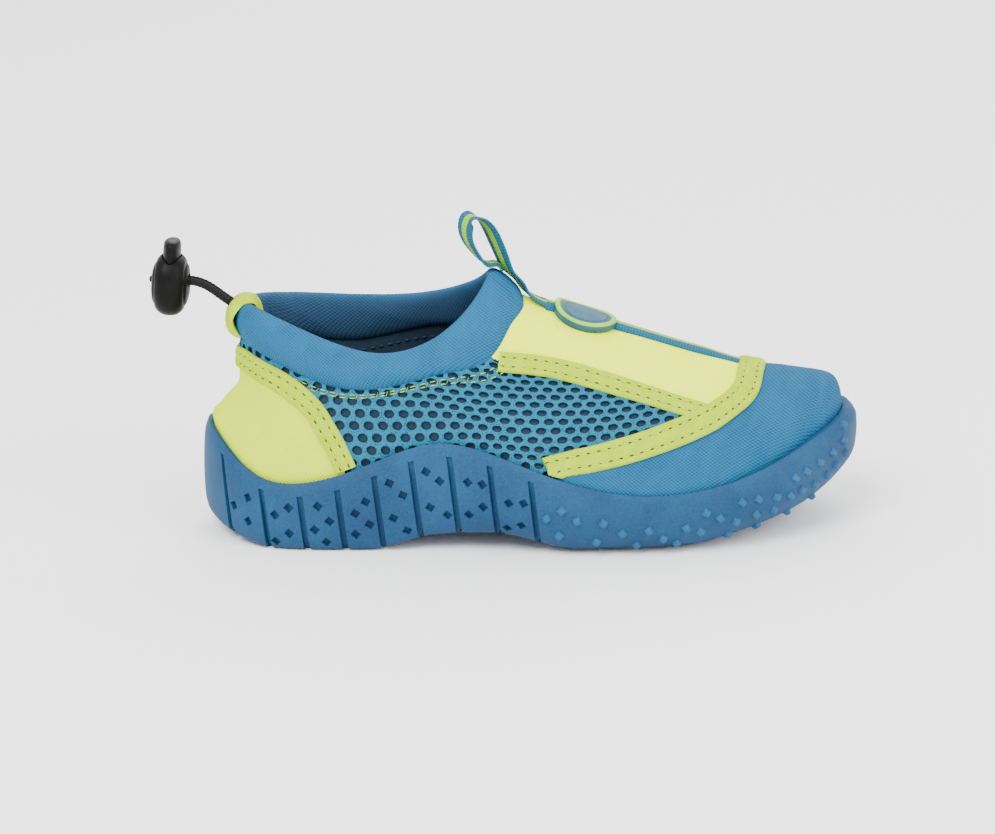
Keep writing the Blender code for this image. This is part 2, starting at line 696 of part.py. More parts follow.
def build_badge(material):
    """The oval moulded badge with a raised rim, bent over the ridge of the vamp above the tape."""
    count = 28
    angles = np.linspace(0, 2 * math.pi, count, endpoint=False)
    station, level = BADGE_CENTRE
    by_station, by_level, normal = last_axes(*BADGE_CENTRE)
    along = by_level / np.linalg.norm(by_level)
    across = np.cross(normal, along)
    low = GAP + FACET_ROOM
    room_top = low + TAPE_THICKNESS + GAP
    face = room_top + BADGE_THICKNESS
    rim = BADGE_RIM / BADGE_WIDTH * 2
    steps = [
        # share of the badge's size, height above the last
        (0.2, low),
        (0.6, low),
        (1.0, low),
        (1.0, face + BADGE_RIM_HEIGHT * 0.6),
        (1.0 - rim * 0.5, face + BADGE_RIM_HEIGHT),
        (1.0 - rim, face),
        (0.6, face),
        (0.2, face),
    ]
    rings = []
    for share, lift in steps:
        ring = []
        for angle in angles:
            reach = along * math.cos(angle) * BADGE_LENGTH + across * math.sin(angle) * BADGE_WIDTH
            place = beside(station, level, reach, share / 2, steps=4)
            ring.append(last(*place, lift))
        rings.append(ring)
    badge = add_bowl("badge", rings, material)
    room = band_sections(TAPE_PATH, TAPE_WIDTH + 2 * GAP, -2 * MM, room_top, 14, columns=5)
    cut(badge, add_sweep("badge_tape_room", room, None, CUTTERS))
    return badge


def build_tab(material):
    """The tab folded over the collar at the heel, standing off it at the back, with holes for the cord."""
    stations = np.linspace(-0.72, 0.72, 5)
    centre, up, out, height = collar_frame(stations)
    thick = COLLAR_THICKNESS / 2
    half = height[:, None] / 2
    angles = np.radians(np.linspace(-48, 200, 18))
    rise, depth = np.sin(angles), np.cos(angles)
    depth = np.sign(depth) * np.abs(depth) ** 0.8
    stand = np.clip(np.cos(angles - math.radians(10)), 0, 1) ** 2
    fold = np.stack([rise, depth, stand], axis=1)
    turn = np.gradient(fold[:, :2] * (half[2, 0], thick), axis=0)
    turn /= np.linalg.norm(turn, axis=1, keepdims=True)
    sections = []
    for (rise, depth, stand), (step_up, step_out) in zip(fold, turn):
        away = out * step_up - up * step_out
        line = centre + up * rise * half + out * (depth * thick + stand * TAB_STANDOFF) + away * GAP
        sections.append(np.concatenate([line, (line + away * TAB_THICKNESS)[::-1]]))
    tab = add_sweep("heel_tab", np.array(sections), material)
    for side in (-1, 1):
        cut(tab, cord_hole(f"tab_cord_hole_{side + 2}", side))
    return tab


# The cord's middle line on the outer side, from inside the collar's roll at the heel to its loop behind the lock. It
# comes back along the same line on the inner side.
CORD_ROUTE = [
    # share of the cord's reach back, share of its rise
    (0.000, 0.000),
    (0.084, 0.167),
    (0.186, 0.369),
    (0.288, 0.583),
    (0.389, 0.762),
    (0.513, 0.893),
    (0.650, 0.952),
    (0.770, 0.976),
    (0.885, 0.988),
    (1.000, 1.000),
]
IN_LOCK = 7
LOCK_BACK = 0.835
LOCK_BELOW = 1.2 * MM
CORD_PIECES = ("drawcord", "lock_body", "lock_button")


def cord_point(back, rise):
    """Length and height of a place on the cord's middle line."""
    return COLLAR_SETBACK - CORD_START_IN - back * CORD_REACH, HEEL_HEIGHT - CORD_START_DOWN + rise * CORD_RISE


def cord_hole(name, side):
    """A round bar along the cord's first stretch, a little wider than the cord, that cuts its hole."""
    (x1, z1), (x2, z2) = cord_point(*CORD_ROUTE[0]), cord_point(*CORD_ROUTE[2])
    start = Vector((x1, side * CORD_SPACING / 2, z1))
    end = Vector((x2, side * CORD_SPACING / 2, z2))
    ahead = (end - start).normalized()
    length = (end - start).length * 2.2
    return add_bar(name, start - ahead * GAP, ahead, length, CORD_DIAMETER / 2 + GAP)


def add_bar(name, start, ahead, length, radius):
    bpy.ops.mesh.primitive_cylinder_add(vertices=16, radius=radius, depth=length)
    bar = bpy.context.object
    bar.name = name
    bar.data.transform(Matrix.Translation((0, 0, length / 2)))
    bar.rotation_euler = ahead.to_track_quat("Z", "Y").to_euler()
    bar.location = start
    move_to(bar, CUTTERS)
    return bar


def move_to(obj, collection):
    for old in list(obj.users_collection):
        old.objects.unlink(obj)
    collection.objects.link(obj)


def build_cord(material):
    """The doubled elastic cord, from the collar through the lock and back."""
    half = CORD_SPACING / 2
    route = [cord_point(*place) for place in CORD_ROUTE]
    points = [(x, -half, z) for x, z in route]
    turn_x, turn_z = points[-1][0], points[-1][2]
    for degrees in (45, 90, 135):
        angle = math.radians(degrees)
        points.append((turn_x - math.sin(angle) * half, -math.cos(angle) * half, turn_z))
    points += [(x, half, z) for x, z in route[::-1]]
    curve = bpy.data.curves.new("drawcord", "CURVE")
    curve.dimensions = "3D"
    curve.bevel_depth = CORD_DIAMETER / 2
    curve.bevel_resolution = 2
    curve.use_fill_caps = True
    spline = curve.splines.new("POLY")
    spline.points.add(len(points) - 1)
    for target, point in zip(spline.points, points):
        target.co = (*point, 1.0)
    curve.materials.append(material)
    cord = bpy.data.objects.new("drawcord", curve)
    ASSEMBLY.objects.link(cord)
    return cord


def oval_bar(name, width, depth, height, material, collection, sides=20):
    """An upright oval bar standing on its own origin."""
    bpy.ops.mesh.primitive_cylinder_add(vertices=sides, radius=0.5, depth=1.0)
    bar = bpy.context.object
    bar.name = name
    bar.data.transform(Matrix.Diagonal((width, depth, height, 1.0)) @ Matrix.Translation((0, 0, 0.5)))
    if material:
        bar.data.materials.append(material)
    move_to(bar, collection)
    return bar


def lock_on_cord():
    """Where the cord runs through the lock."""
    return cord_point(LOCK_BACK, CORD_ROUTE[IN_LOCK][1])


def build_lock(material):
    """The cord lock: an egg-shaped body with a passage for both strands, and a sprung push button on top."""
    cord_x, cord_z = lock_on_cord()
    place = Matrix.Translation((cord_x, 0, cord_z - LOCK_BELOW)) @ Matrix.Rotation(LOCK_LEAN, 4, "Y")
    bpy.ops.mesh.primitive_uv_sphere_add(segments=20, ring_count=12, radius=1.0)
    body = bpy.context.object
    body.name = "lock_body"
    for vertex in body.data.vertices:
        co = vertex.co
        flat = 0.82
        co.x, co.y, co.z = (math.copysign(abs(v) ** flat, v) for v in co)
        co.x *= LOCK_LENGTH / 2
        co.y *= LOCK_WIDTH / 2
        co.z *= LOCK_HEIGHT / 2
    body.matrix_world = place
    body.data.materials.append(material)
    move_to(body, ASSEMBLY)
    pocket_floor = LOCK_BELOW + CORD_DIAMETER / 2 + 3 * GAP
    foot = pocket_floor + BUTTON_TRAVEL + GAP
    top = LOCK_HEIGHT / 2 + BUTTON_STANDS
    clear = 2 * BUTTON_CLEARANCE
    pocket = oval_bar(
        "lock_pocket", BUTTON_LENGTH + clear, BUTTON_WIDTH + clear, LOCK_HEIGHT, None, CUTTERS
    )
    pocket.matrix_world = place @ Matrix.Translation((0, 0, pocket_floor))
    cut(body, pocket)
    passage = passage_cutter()
    cut(body, passage)
    button = oval_bar("lock_button", BUTTON_LENGTH, BUTTON_WIDTH, top - foot, material, ASSEMBLY)
    button.matrix_world = place @ Matrix.Translation((0, 0, foot))
    bevel = button.modifiers.new("rounded_top", "BEVEL")
    bevel.width = 1.4 * MM
    bevel.segments = 2
    bevel.limit_method = "ANGLE"
    return body, button


def passage_cutter():
    """The passage for both strands, right through the lock."""
    x, z = lock_on_cord()
    length = LOCK_LENGTH + 4 * MM
    bpy.ops.mesh.primitive_cube_add(size=1.0)
    bar = bpy.context.object
    bar.name = "lock_passage"
    wide = CORD_SPACING + CORD_DIAMETER + 4 * GAP
    bar.data.transform(Matrix.Diagonal((length, wide, CORD_DIAMETER + 4 * GAP, 1.0)))
    bar.location = (x, 0, z)
    move_to(bar, CUTTERS)
    return bar


def centre_shoe():
    """Put the origin at the middle of the shoe's box, at the floor, by hanging everything from one empty.

    The cord and its lock aren't counted in the box, because they can hang elsewhere.
    """
    bpy.context.view_layer.update()
    graph = bpy.context.evaluated_depsgraph_get()
    corners = []
    for obj in ASSEMBLY.objects:
        if obj.name in CORD_PIECES:
            continue
        shape = obj.evaluated_get(graph)
        corners += [shape.matrix_world @ Vector(corner) for corner in shape.bound_box]
    low = [min(c[i] for c in corners) for i in range(3)]
    high = [max(c[i] for c in corners) for i in range(3)]
    origin = bpy.data.objects.new("shoe_origin", None)
    origin.location = (-(low[0] + high[0]) / 2, -(low[1] + high[1]) / 2, -low[2])
    ASSEMBLY.objects.link(origin)
    for obj in list(ASSEMBLY.objects) + list(CUTTERS.objects):
        if obj is not origin:
            obj.parent = origin


def main():
    clear_scene()
    blue_cloth = finish("blue_neoprene", (0.06, 0.28, 0.43), 0.8)
    rubber = finish("sole_rubber", (0.05, 0.21, 0.38), 0.6)
    foam = finish("insole_foam", (0.03, 0.10, 0.20), 0.9)
    yellow_cloth = finish("yellow_trim", (0.76, 0.90, 0.10), 0.7)
    woven = finish("woven_tape", (0.06, 0.26, 0.42), 0.8)
    moulded = finish("badge_rubber", (0.22, 0.42, 0.47), 0.5)
    elastic = finish("black_elastic", (0.02, 0.02, 0.02), 0.8)
    plastic = finish("black_plastic", (0.015, 0.015, 0.015), 0.35)
    build_upper(blue_cloth)
    build_sole(rubber)
    build_insole(foam)
    build_collar(blue_cloth)
    build_bands(yellow_cloth)
    build_tape(woven)
    build_badge(moulded)
    build_tab(yellow_cloth)
    build_cord(elastic)
    build_lock(plastic)
    centre_shoe()


main()
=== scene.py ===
"""The looks of a child's slip-on water shoe, for the right foot, over its frame of solids.

Every soft piece is rebuilt finely from the same last as the solids: a net of stations round the foot (heel,
outer side, toe, inner side) and levels up it. Lengths are in metres; the surface maps are in millimetres.
"""

import math

import bmesh
import bpy
import numpy as np
from mathutils import Matrix, Vector


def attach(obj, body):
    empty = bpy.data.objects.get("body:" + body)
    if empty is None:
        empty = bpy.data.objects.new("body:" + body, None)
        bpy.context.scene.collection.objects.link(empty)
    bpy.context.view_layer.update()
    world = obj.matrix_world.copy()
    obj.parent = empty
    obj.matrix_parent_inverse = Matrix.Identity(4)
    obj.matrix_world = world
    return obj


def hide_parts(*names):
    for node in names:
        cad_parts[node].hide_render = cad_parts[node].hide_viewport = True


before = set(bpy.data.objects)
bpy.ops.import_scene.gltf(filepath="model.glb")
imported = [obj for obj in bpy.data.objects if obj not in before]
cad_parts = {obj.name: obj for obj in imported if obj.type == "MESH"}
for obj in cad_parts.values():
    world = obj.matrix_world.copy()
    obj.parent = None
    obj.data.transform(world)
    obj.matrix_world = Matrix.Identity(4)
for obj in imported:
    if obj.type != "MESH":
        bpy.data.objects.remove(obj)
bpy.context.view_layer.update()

MM = 0.001
SHOE = "shoe"
BUTTON = "button"

# Camera, which looks along +Y from a little above
ELEVATION = math.radians(16)
DISTANCE = 800 * MM
TARGET = np.array([-0.3, 0.0, 32.0]) * MM
FOCAL = 100.0
SENSOR = 36.0
WIDTH_PX, HEIGHT_PX = 995, 834
TARGET_PX = (529.8, 412.4)
ROLL = math.radians(0.8)

# Where the back of the last lies
LAST_AT = np.array([-91.89, 0.989, 0.0]) * MM

# Sizes shared with the solids
LAST_LENGTH = 182.5 * MM
BALL_WIDTH = 74.0 * MM
HEEL_WIDTH = 52.0 * MM
HEEL_HEIGHT = 67.0 * MM
INSTEP_HEIGHT = 74.5 * MM
ANKLE_DIP = 11.0 * MM
COLLAR_LENGTH = 72.0 * MM
COLLAR_WIDTH = 45.0 * MM
COLLAR_SETBACK = 9.3 * MM
COUNTER_HEIGHT = 34.0 * MM
TOE_SPRING = 17.0 * MM
ARCH_LIFT = 5.0 * MM
SOLE_THICKNESS = 8.0 * MM
FEATHER_INSET = 3.5 * MM
SOLE_FLARE = 3.2 * MM
HEEL_BEVEL = 5.0 * MM
GROOVE_PITCH = 10.95 * MM
GROOVE_WIDTH = 1.7 * MM
GROOVE_LEAN = math.radians(6)
GROOVE_START = 6.2 * MM
GROOVE_COUNT = 9
GAP = 0.3 * MM
FACET_ROOM = 0.2 * MM
UPPER_WALL = 2.2 * MM
COLLAR_THICKNESS = 7.0 * MM
COLLAR_FRONT_THICKNESS = 5.2 * MM
INSOLE_THICKNESS = 3.0 * MM
BAND_THICKNESS = 0.9 * MM
TOE_BAND_WIDTH = 7.5 * MM
EYESTAY_WIDTH = 6.0 * MM
HEEL_BAND_WIDTH = 5.5 * MM
TAPE_WIDTH = 9.5 * MM
TAPE_THICKNESS = 0.9 * MM
LOOP_LENGTH = 20.2 * MM
LOOP_OPENING = 8.0 * MM
BADGE_LENGTH = 18.8 * MM
BADGE_WIDTH = 16.0 * MM
BADGE_THICKNESS = 0.8 * MM
BADGE_RIM = 1.3 * MM
BADGE_RIM_HEIGHT = 0.5 * MM
TAB_THICKNESS = 0.9 * MM
TAB_STANDOFF = 0.7 * MM
CORD_DIAMETER = 2.1 * MM
CORD_SPACING = 2.8 * MM
CORD_REACH = 22.6 * MM
CORD_RISE = 8.4 * MM
CORD_START_IN = 0.9 * MM
CORD_START_DOWN = 2.4 * MM
LOCK_LENGTH = 11.0 * MM
LOCK_WIDTH = 16.0 * MM
LOCK_HEIGHT = 18.2 * MM
LOCK_LEAN = math.radians(5)
BUTTON_LENGTH = 5.0 * MM
BUTTON_WIDTH = 11.5 * MM
BUTTON_STANDS = 3.8 * MM
BUTTON_TRAVEL = 3.0 * MM
BUTTON_CLEARANCE = 0.35 * MM

# The outline of the last, seen from above at the sole's lip, and of the collar's top. foot_x is a share of
# the last's length and foot_y of its width there. top_x and top_y are shares of the collar's length and
# width, rise is a share of the way from the heel's height to the instep's, and dip a share of the ankle's
# dip.
OUTLINE = [
    # name, foot_x, foot_y, top_x, top_y, rise, dip, profile
    ("heel_back", 0.000, 0.000, 0.000, 0.000, 0.00, 0.00, "heel"),
    ("heel_back_outer", 0.026, -0.250, 0.042, -0.178, 0.00, 0.05, "heel"),
    ("heel_outer", 0.096, -0.455, 0.167, -0.344, 0.00, 0.27, "heel_side"),
    ("waist_back_outer", 0.230, -0.500, 0.382, -0.467, 0.00, 0.77, "wall"),
    ("waist_outer", 0.366, -0.475, 0.576, -0.500, 0.00, 1.00, "wall"),
    ("ball_back_outer", 0.514, -0.500, 0.750, -0.444, 0.06, 0.82, "flare"),
    ("ball_outer", 0.662, -0.513, 0.875, -0.333, 0.35, 0.50, "flare"),
    ("toe_back_outer", 0.805, -0.440, 0.944, -0.211, 0.66, 0.24, "vamp"),
    ("toe_outer", 0.925, -0.245, 0.986, -0.100, 0.91, 0.06, "toe_outer"),
    ("toe_tip", 1.000, 0.068, 1.000, 0.000, 1.00, 0.00, "toe"),
    ("toe_inner", 0.958, 0.320, 0.986, 0.100, 0.91, 0.05, "toe_inner"),
    ("toe_back_inner", 0.850, 0.450, 0.944, 0.211, 0.66, 0.16, "vamp"),
    ("ball_inner", 0.695, 0.487, 0.875, 0.333, 0.35, 0.24, "flare"),
    ("ball_back_inner", 0.514, 0.440, 0.750, 0.444, 0.10, 0.36, "flare"),
    ("waist_inner", 0.366, 0.425, 0.576, 0.500, 0.00, 0.42, "wall"),
    ("waist_back_inner", 0.230, 0.460, 0.382, 0.478, 0.00, 0.36, "wall"),
    ("heel_inner", 0.096, 0.435, 0.167, 0.356, 0.00, 0.18, "heel_side"),
    ("heel_back_inner", 0.026, 0.250, 0.042, 0.178, 0.00, 0.04, "heel"),
]
STATIONS = len(OUTLINE)
TOE = 9

# How the wall climbs from the sole's lip to the collar's top at each kind of station: along is the share of
# the way in from the lip's outline to the collar's, and up the share of the height.
PROFILES = {
    # name: (along, up) at low, shoulder, middle, high, seam and top
    "heel": ((0.10, 0.09), (0.52, 0.20), (0.84, 0.33), (0.88, 0.50), (0.95, 0.69), (1.0, 1.0)),
    "heel_side": ((0.08, 0.12), (0.30, 0.26), (0.55, 0.41), (0.72, 0.56), (0.87, 0.71), (1.0, 1.0)),
    "wall": ((0.09, 0.14), (0.20, 0.28), (0.34, 0.41), (0.50, 0.52), (0.67, 0.63), (1.0, 1.0)),
    "flare": ((0.12, 0.11), (0.27, 0.24), (0.44, 0.40), (0.63, 0.56), (0.838, 0.735), (1.0, 1.0)),
    "vamp": ((0.05, 0.17), (0.16, 0.33), (0.37, 0.475), (0.62, 0.655), (0.862, 0.821), (1.0, 1.0)),
    "toe_outer": ((0.02, 0.14), (0.11, 0.245), (0.36, 0.42), (0.64, 0.635), (0.885, 0.801), (1.0, 1.0)),
    "toe": ((0.015, 0.15), (0.08, 0.23), (0.32, 0.337), (0.62, 0.56), (0.915, 0.815), (1.0, 1.0)),
    "toe_inner": ((0.02, 0.12), (0.11, 0.19), (0.36, 0.35), (0.64, 0.595), (0.905, 0.805), (1.0, 1.0)),
}
# Levels of the last that have a name
FEATHER, LIP, LOW, SEAM, TOP = 0, 1, 2, 6, 7

# The top edge of the sole, as shares of the last's length and of the heel counter's height
LIP_LINE = [
    # x, height
    (0.000, 0.940),
    (0.018, 0.880),
    (0.050, 0.680),
    (0.095, 0.590),
    (0.180, 0.625),
    (0.300, 0.830),
    (0.375, 0.940),
    (0.430, 0.915),
    (0.520, 0.720),
    (0.630, 0.550),
    (0.720, 0.530),
    (0.810, 0.600),
    (0.900, 0.755),
    (1.000, 0.940),
]

# The floor side of the sole and the seat inside it, as shares of the arch's lift, the toe's spring and the
# heel's bevel. The seat's own arch is longer and lower than the tread's.
GROUND_LINE = [
    # x, arch, spring, bevel, seat_arch
    (-0.02, 0.0, 0.00, 1.00, 0.00),
    (0.04, 0.0, 0.00, 0.35, 0.00),
    (0.10, 0.0, 0.00, 0.00, 0.00),
    (0.24, 0.0, 0.00, 0.00, 0.25),
    (0.36, 0.9, 0.00, 0.00, 0.50),
    (0.44, 1.0, 0.00, 0.00, 0.50),
    (0.58, 0.0, 0.00, 0.00, 0.20),
    (0.73, 0.0, 0.00, 0.00, 0.00),
    (0.84, 0.0, 0.17, 0.00, 0.00),
    (0.93, 0.0, 0.36, 0.00, 0.00),
    (1.00, 0.0, 0.66, 0.00, 0.00),
]

# The sole's side from the tread to the rim: out is a share of the flare beyond the lip's outline, and up a
# share of the height from the floor side to the lip. Each has a value at the heel, at the ball and at the
# toe.
SOLE_SECTION = [
    # name, heel_out, heel_up, ball_out, ball_up, toe_out, toe_up
    ("tread", 0.20, 0.00, -2.70, 0.00, -3.20, 0.00),
    ("edge", 0.80, 0.04, -1.30, 0.07, 0.10, 0.10),
    ("corner", 1.05, 0.17, 0.00, 0.28, 1.25, 0.34),
    ("side", 1.05, 0.52, 0.75, 0.64, 1.45, 0.66),
    ("rim", 0.85, 0.88, 0.72, 0.90, 1.35, 0.90),
    ("crown", 0.45, 1.00, 0.42, 1.00, 0.70, 1.00),
]


def smooth_line(table, x, column):
    """The table's column at x, along a curve with no overshoot that stays flat where two rows agree."""
    xs = np.array([row[0] for row in table])
    ys = np.array([row[column] for row in table])
    steps = np.diff(xs)
    slopes = np.diff(ys) / steps
    tangents = np.zeros(len(xs))
    tangents[0], tangents[-1] = slopes[0], slopes[-1]
    for i in range(1, len(xs) - 1):
        if slopes[i - 1] * slopes[i] > 0:
            tangents[i] = 2 * slopes[i - 1] * slopes[i] / (slopes[i - 1] + slopes[i])
    x = np.clip(x, xs[0], xs[-1])
    i = np.clip(np.searchsorted(xs, x, side="right") - 1, 0, len(steps) - 1)
    t = (x - xs[i]) / steps[i]
    return (
        ys[i] * (1 + 2 * t) * (1 - t) ** 2
        + tangents[i] * steps[i] * t * (1 - t) ** 2
        + ys[i + 1] * t**2 * (3 - 2 * t)
        + tangents[i + 1] * steps[i] * t**2 * (t - 1)
    )


def run_length(points):
    """Length along a line of points, from its first."""
    return np.concatenate([[0], np.cumsum(np.linalg.norm(np.diff(points, axis=0), axis=1))])


def unit(vectors):
    """These vectors at length 1."""
    return vectors / np.linalg.norm(vectors, axis=-1, keepdims=True)


def spline_bends(knots, closed):
    """The matrix that turns the values at the knots into a cubic spline's second derivatives there."""
    gaps = np.diff(knots)
    n = len(gaps) if closed else len(knots)
    left, right = np.zeros((n, n)), np.zeros((n, n))
    for i in range(n):
        if not closed and i in (0, n - 1):
            left[i, i] = 1.0
            continue
        before, after = gaps[i - 1], gaps[i]
        left[i, i - 1] += before
        left[i, i] += 2 * (before + after)
        left[i, (i + 1) % n] += after
        right[i, i - 1] += 6 / before
        right[i, i] -= 6 / before + 6 / after
        right[i, (i + 1) % n] += 6 / after
    return np.linalg.solve(left, right)


def spline_weights(knots, bends, at):
    """For each place, the weight of each knot's value in the spline there."""
    gaps = np.diff(knots)
    i = np.clip(np.searchsorted(knots, at, side="right") - 1, 0, len(gaps) - 1)
    h = gaps[i]
    b = (at - knots[i]) / h
    a = 1 - b
    n = bends.shape[0]
    low, high = np.eye(n)[i], np.eye(n)[(i + 1) % n]
    curve_low = ((a**3 - a) * h**2 / 6)[:, None] * bends[i]
    curve_high = ((b**3 - b) * h**2 / 6)[:, None] * bends[(i + 1) % n]
    return a[:, None] * low + b[:, None] * high + curve_low + curve_high


def tread_height(x):
    """Height of the tread at x, measured from the back of the last."""
    arch, spring, bevel = (smooth_line(GROUND_LINE, x / LAST_LENGTH, column) for column in (1, 2, 3))
    return ARCH_LIFT * arch + TOE_SPRING * spring + HEEL_BEVEL * bevel


def seat_height(x):
    """Height of the sole's seat at x, which carries the upper's lower edge and the insole."""
    spring, arch = (smooth_line(GROUND_LINE, x / LAST_LENGTH, column) for column in (2, 4))
    return SOLE_THICKNESS + ARCH_LIFT * arch + TOE_SPRING * spring


def width_at(share):
    """The width that the outline's shares refer to: the heel's at the back, the ball's from the ball on."""
    blend = np.clip((share - 0.15) / 0.45, 0, 1)
    return HEEL_WIDTH + (BALL_WIDTH - HEEL_WIDTH) * blend * blend * (3 - 2 * blend)


def outward(points):
    """The level direction that points out of a closed outline, at each of its points."""
    along = np.roll(points, -1, axis=0) - np.roll(points, 1, axis=0)
    out = np.stack([along[:, 1], -along[:, 0], np.zeros(len(points))], axis=1)
    return unit(out)


def control_net():
    """The last's control points, by station and level."""
    net = np.zeros((STATIONS, 8, 3))
    for i, (_, foot_x, foot_y, top_x, top_y, rise, dip, profile) in enumerate(OUTLINE):
        lip_z = COUNTER_HEIGHT * smooth_line(LIP_LINE, foot_x, 1)
        lip = np.array([foot_x * LAST_LENGTH, foot_y * width_at(foot_x), lip_z])
        top_z = HEEL_HEIGHT + rise * (INSTEP_HEIGHT - HEEL_HEIGHT) - dip * ANKLE_DIP
        top = np.array([COLLAR_SETBACK + top_x * COLLAR_LENGTH, top_y * COLLAR_WIDTH, top_z])
        net[i, LIP] = lip
        for level, (along, up) in enumerate(PROFILES[profile], start=LOW):
            net[i, level, :2] = lip[:2] + along * (top - lip)[:2]
            net[i, level, 2] = lip[2] + up * (top - lip)[2]
    feather = net[:, LIP] - FEATHER_INSET * outward(net[:, LIP])
    feather[:, 2] = seat_height(feather[:, 0])
    net[:, FEATHER] = feather
    return net


NET = control_net()
CLOSED_NET = np.concatenate([NET, NET[:1]])
STATION_KNOTS = np.concatenate(
    [[0], np.cumsum(np.sqrt(np.linalg.norm(np.diff(CLOSED_NET[:, LIP], axis=0), axis=1)))]
)
LEVEL_KNOTS = np.concatenate(
    [[0], np.cumsum(np.sqrt(np.linalg.norm(np.diff(NET, axis=1), axis=2)).mean(axis=0))]
)
STATION_BENDS = spline_bends(STATION_KNOTS, closed=True)
LEVEL_BENDS = spline_bends(LEVEL_KNOTS, closed=False)


def net_point(s, t):
    """A point of the last at knot coordinates s round the foot and t up it."""
    over_stations = spline_weights(STATION_KNOTS, STATION_BENDS, np.mod(s, STATION_KNOTS[-1]))
    over_levels = spline_weights(LEVEL_KNOTS, LEVEL_BENDS, t)
    return np.einsum("pi,pj,ijk->pk", over_stations, over_levels, NET)


def last(station, level, lift=0.0):
    """Points of the last at these stations and levels, lifted off it along its normal."""
    station, level, lift = np.broadcast_arrays(*(np.asarray(v, float) for v in (station, level, lift)))
    shape = station.shape
    s = np.interp(np.mod(station.ravel(), STATIONS), range(STATIONS + 1), STATION_KNOTS)
    t = np.interp(level.ravel(), range(len(LEVEL_KNOTS)), LEVEL_KNOTS)
    step = 0.002
    points = net_point(s, t)
    round_it = net_point(s + step, t) - net_point(s - step, t)
    up_it = net_point(s, t + step) - net_point(s, t - step)
    normals = unit(np.cross(round_it, up_it))
    return (points + normals * lift.ravel()[:, None]).reshape(*shape, 3)


def stations_round(count):
    """Station coordinates of this many columns, spread so that each has a mirror at the same x."""
    fine = np.linspace(0, TOE, 500)
    lip_x = last(fine, LIP)[:, 0]
    other = STATIONS - (STATIONS - TOE) * np.linspace(0, 1, 500)
    other_x = last(other, LIP)[:, 0]
    half = np.linspace(0, np.interp(TOE, range(STATIONS + 1), STATION_KNOTS), count // 2 + 1)
    outer = np.interp(half, STATION_KNOTS, range(STATIONS + 1))
    level = np.maximum.accumulate(np.interp(outer, fine, lip_x))
    inner = np.interp(level, np.maximum.accumulate(other_x), other)
    return np.concatenate([outer, inner[-2:0:-1]])


def grid_of(stations, levels, lift=0.0):
    """Places and points of the last on a grid: rows follow the stations, columns the levels."""
    s, l = np.meshgrid(stations, levels, indexing="ij")
    return s, l, last(s, l, lift)


def even_levels(low, high, count):
    """Levels spread evenly by length up the wall, on average."""
    knots = np.arange(8)
    fine = np.linspace(low, high, 400)
    run = np.interp(fine, knots, LEVEL_KNOTS**2 / LEVEL_KNOTS[-1] + LEVEL_KNOTS * 0.5)
    return np.interp(np.linspace(run[0], run[-1], count), run, fine)


def even_stations(start, end, count, level=2.0):
    """Stations spread evenly by length round the last at one level."""
    fine = np.linspace(start, end, 3000)
    points = last(fine, np.full(3000, level))
    run = run_length(points)
    return np.interp(np.linspace(0, run[-1], count), run, fine)


def last_axes(station, level):
    """The last's two derivatives, by station and by level, and its unit normal, at any number of places."""
    step = 0.02
    by_station = (last(station + step, level) - last(station - step, level)) / (2 * step)
    by_level = (last(station, level + step) - last(station, level - step)) / (2 * step)
    return by_station, by_level, unit(np.cross(by_station, by_level))


def beside(station, level, direction, distance, steps=4):
    """The stations and levels that lie this far from places of the last in directions along its surface."""
    station, level = np.array(station, float), np.array(level, float)
    wanted = np.abs(distance) / steps
    for _ in range(steps):
        a, b, _ = last_axes(station, level)
        aa, ab, bb = (np.sum(p * q, axis=-1) for p, q in ((a, a), (a, b), (b, b)))
        ad, bd = np.sum(a * direction, axis=-1), np.sum(b * direction, axis=-1)
        det = aa * bb - ab * ab
        by_s, by_l = (bb * ad - ab * bd) / det, (aa * bd - ab * ad) / det
        length = np.linalg.norm(a * by_s[..., None] + b * by_l[..., None], axis=-1)
        scale = np.sign(distance) * wanted / np.maximum(length, 1e-9)
        station, level = station + by_s * scale, level + by_l * scale
    return station, level


def spline_through(points, count):
    """Evenly spread points on a natural spline through these."""
    points = np.asarray(points, float)
    knots = run_length(points)
    weights = spline_weights(knots, spline_bends(knots, closed=False), np.linspace(0, knots[-1], count))
    return weights @ points


def surface_maps(points):
    """Lengths over a grid of points, along its rows and along its columns."""
    along = np.zeros(points.shape[:2])
    along[1:] = np.cumsum(np.linalg.norm(np.diff(points, axis=0), axis=2), axis=0)
    across = np.zeros(points.shape[:2])
    across[:, 1:] = np.cumsum(np.linalg.norm(np.diff(points, axis=1), axis=2), axis=1)
    return along, across


# Meshes

collection = bpy.data.collections.new("water_shoe_looks")
bpy.context.scene.collection.children.link(collection)


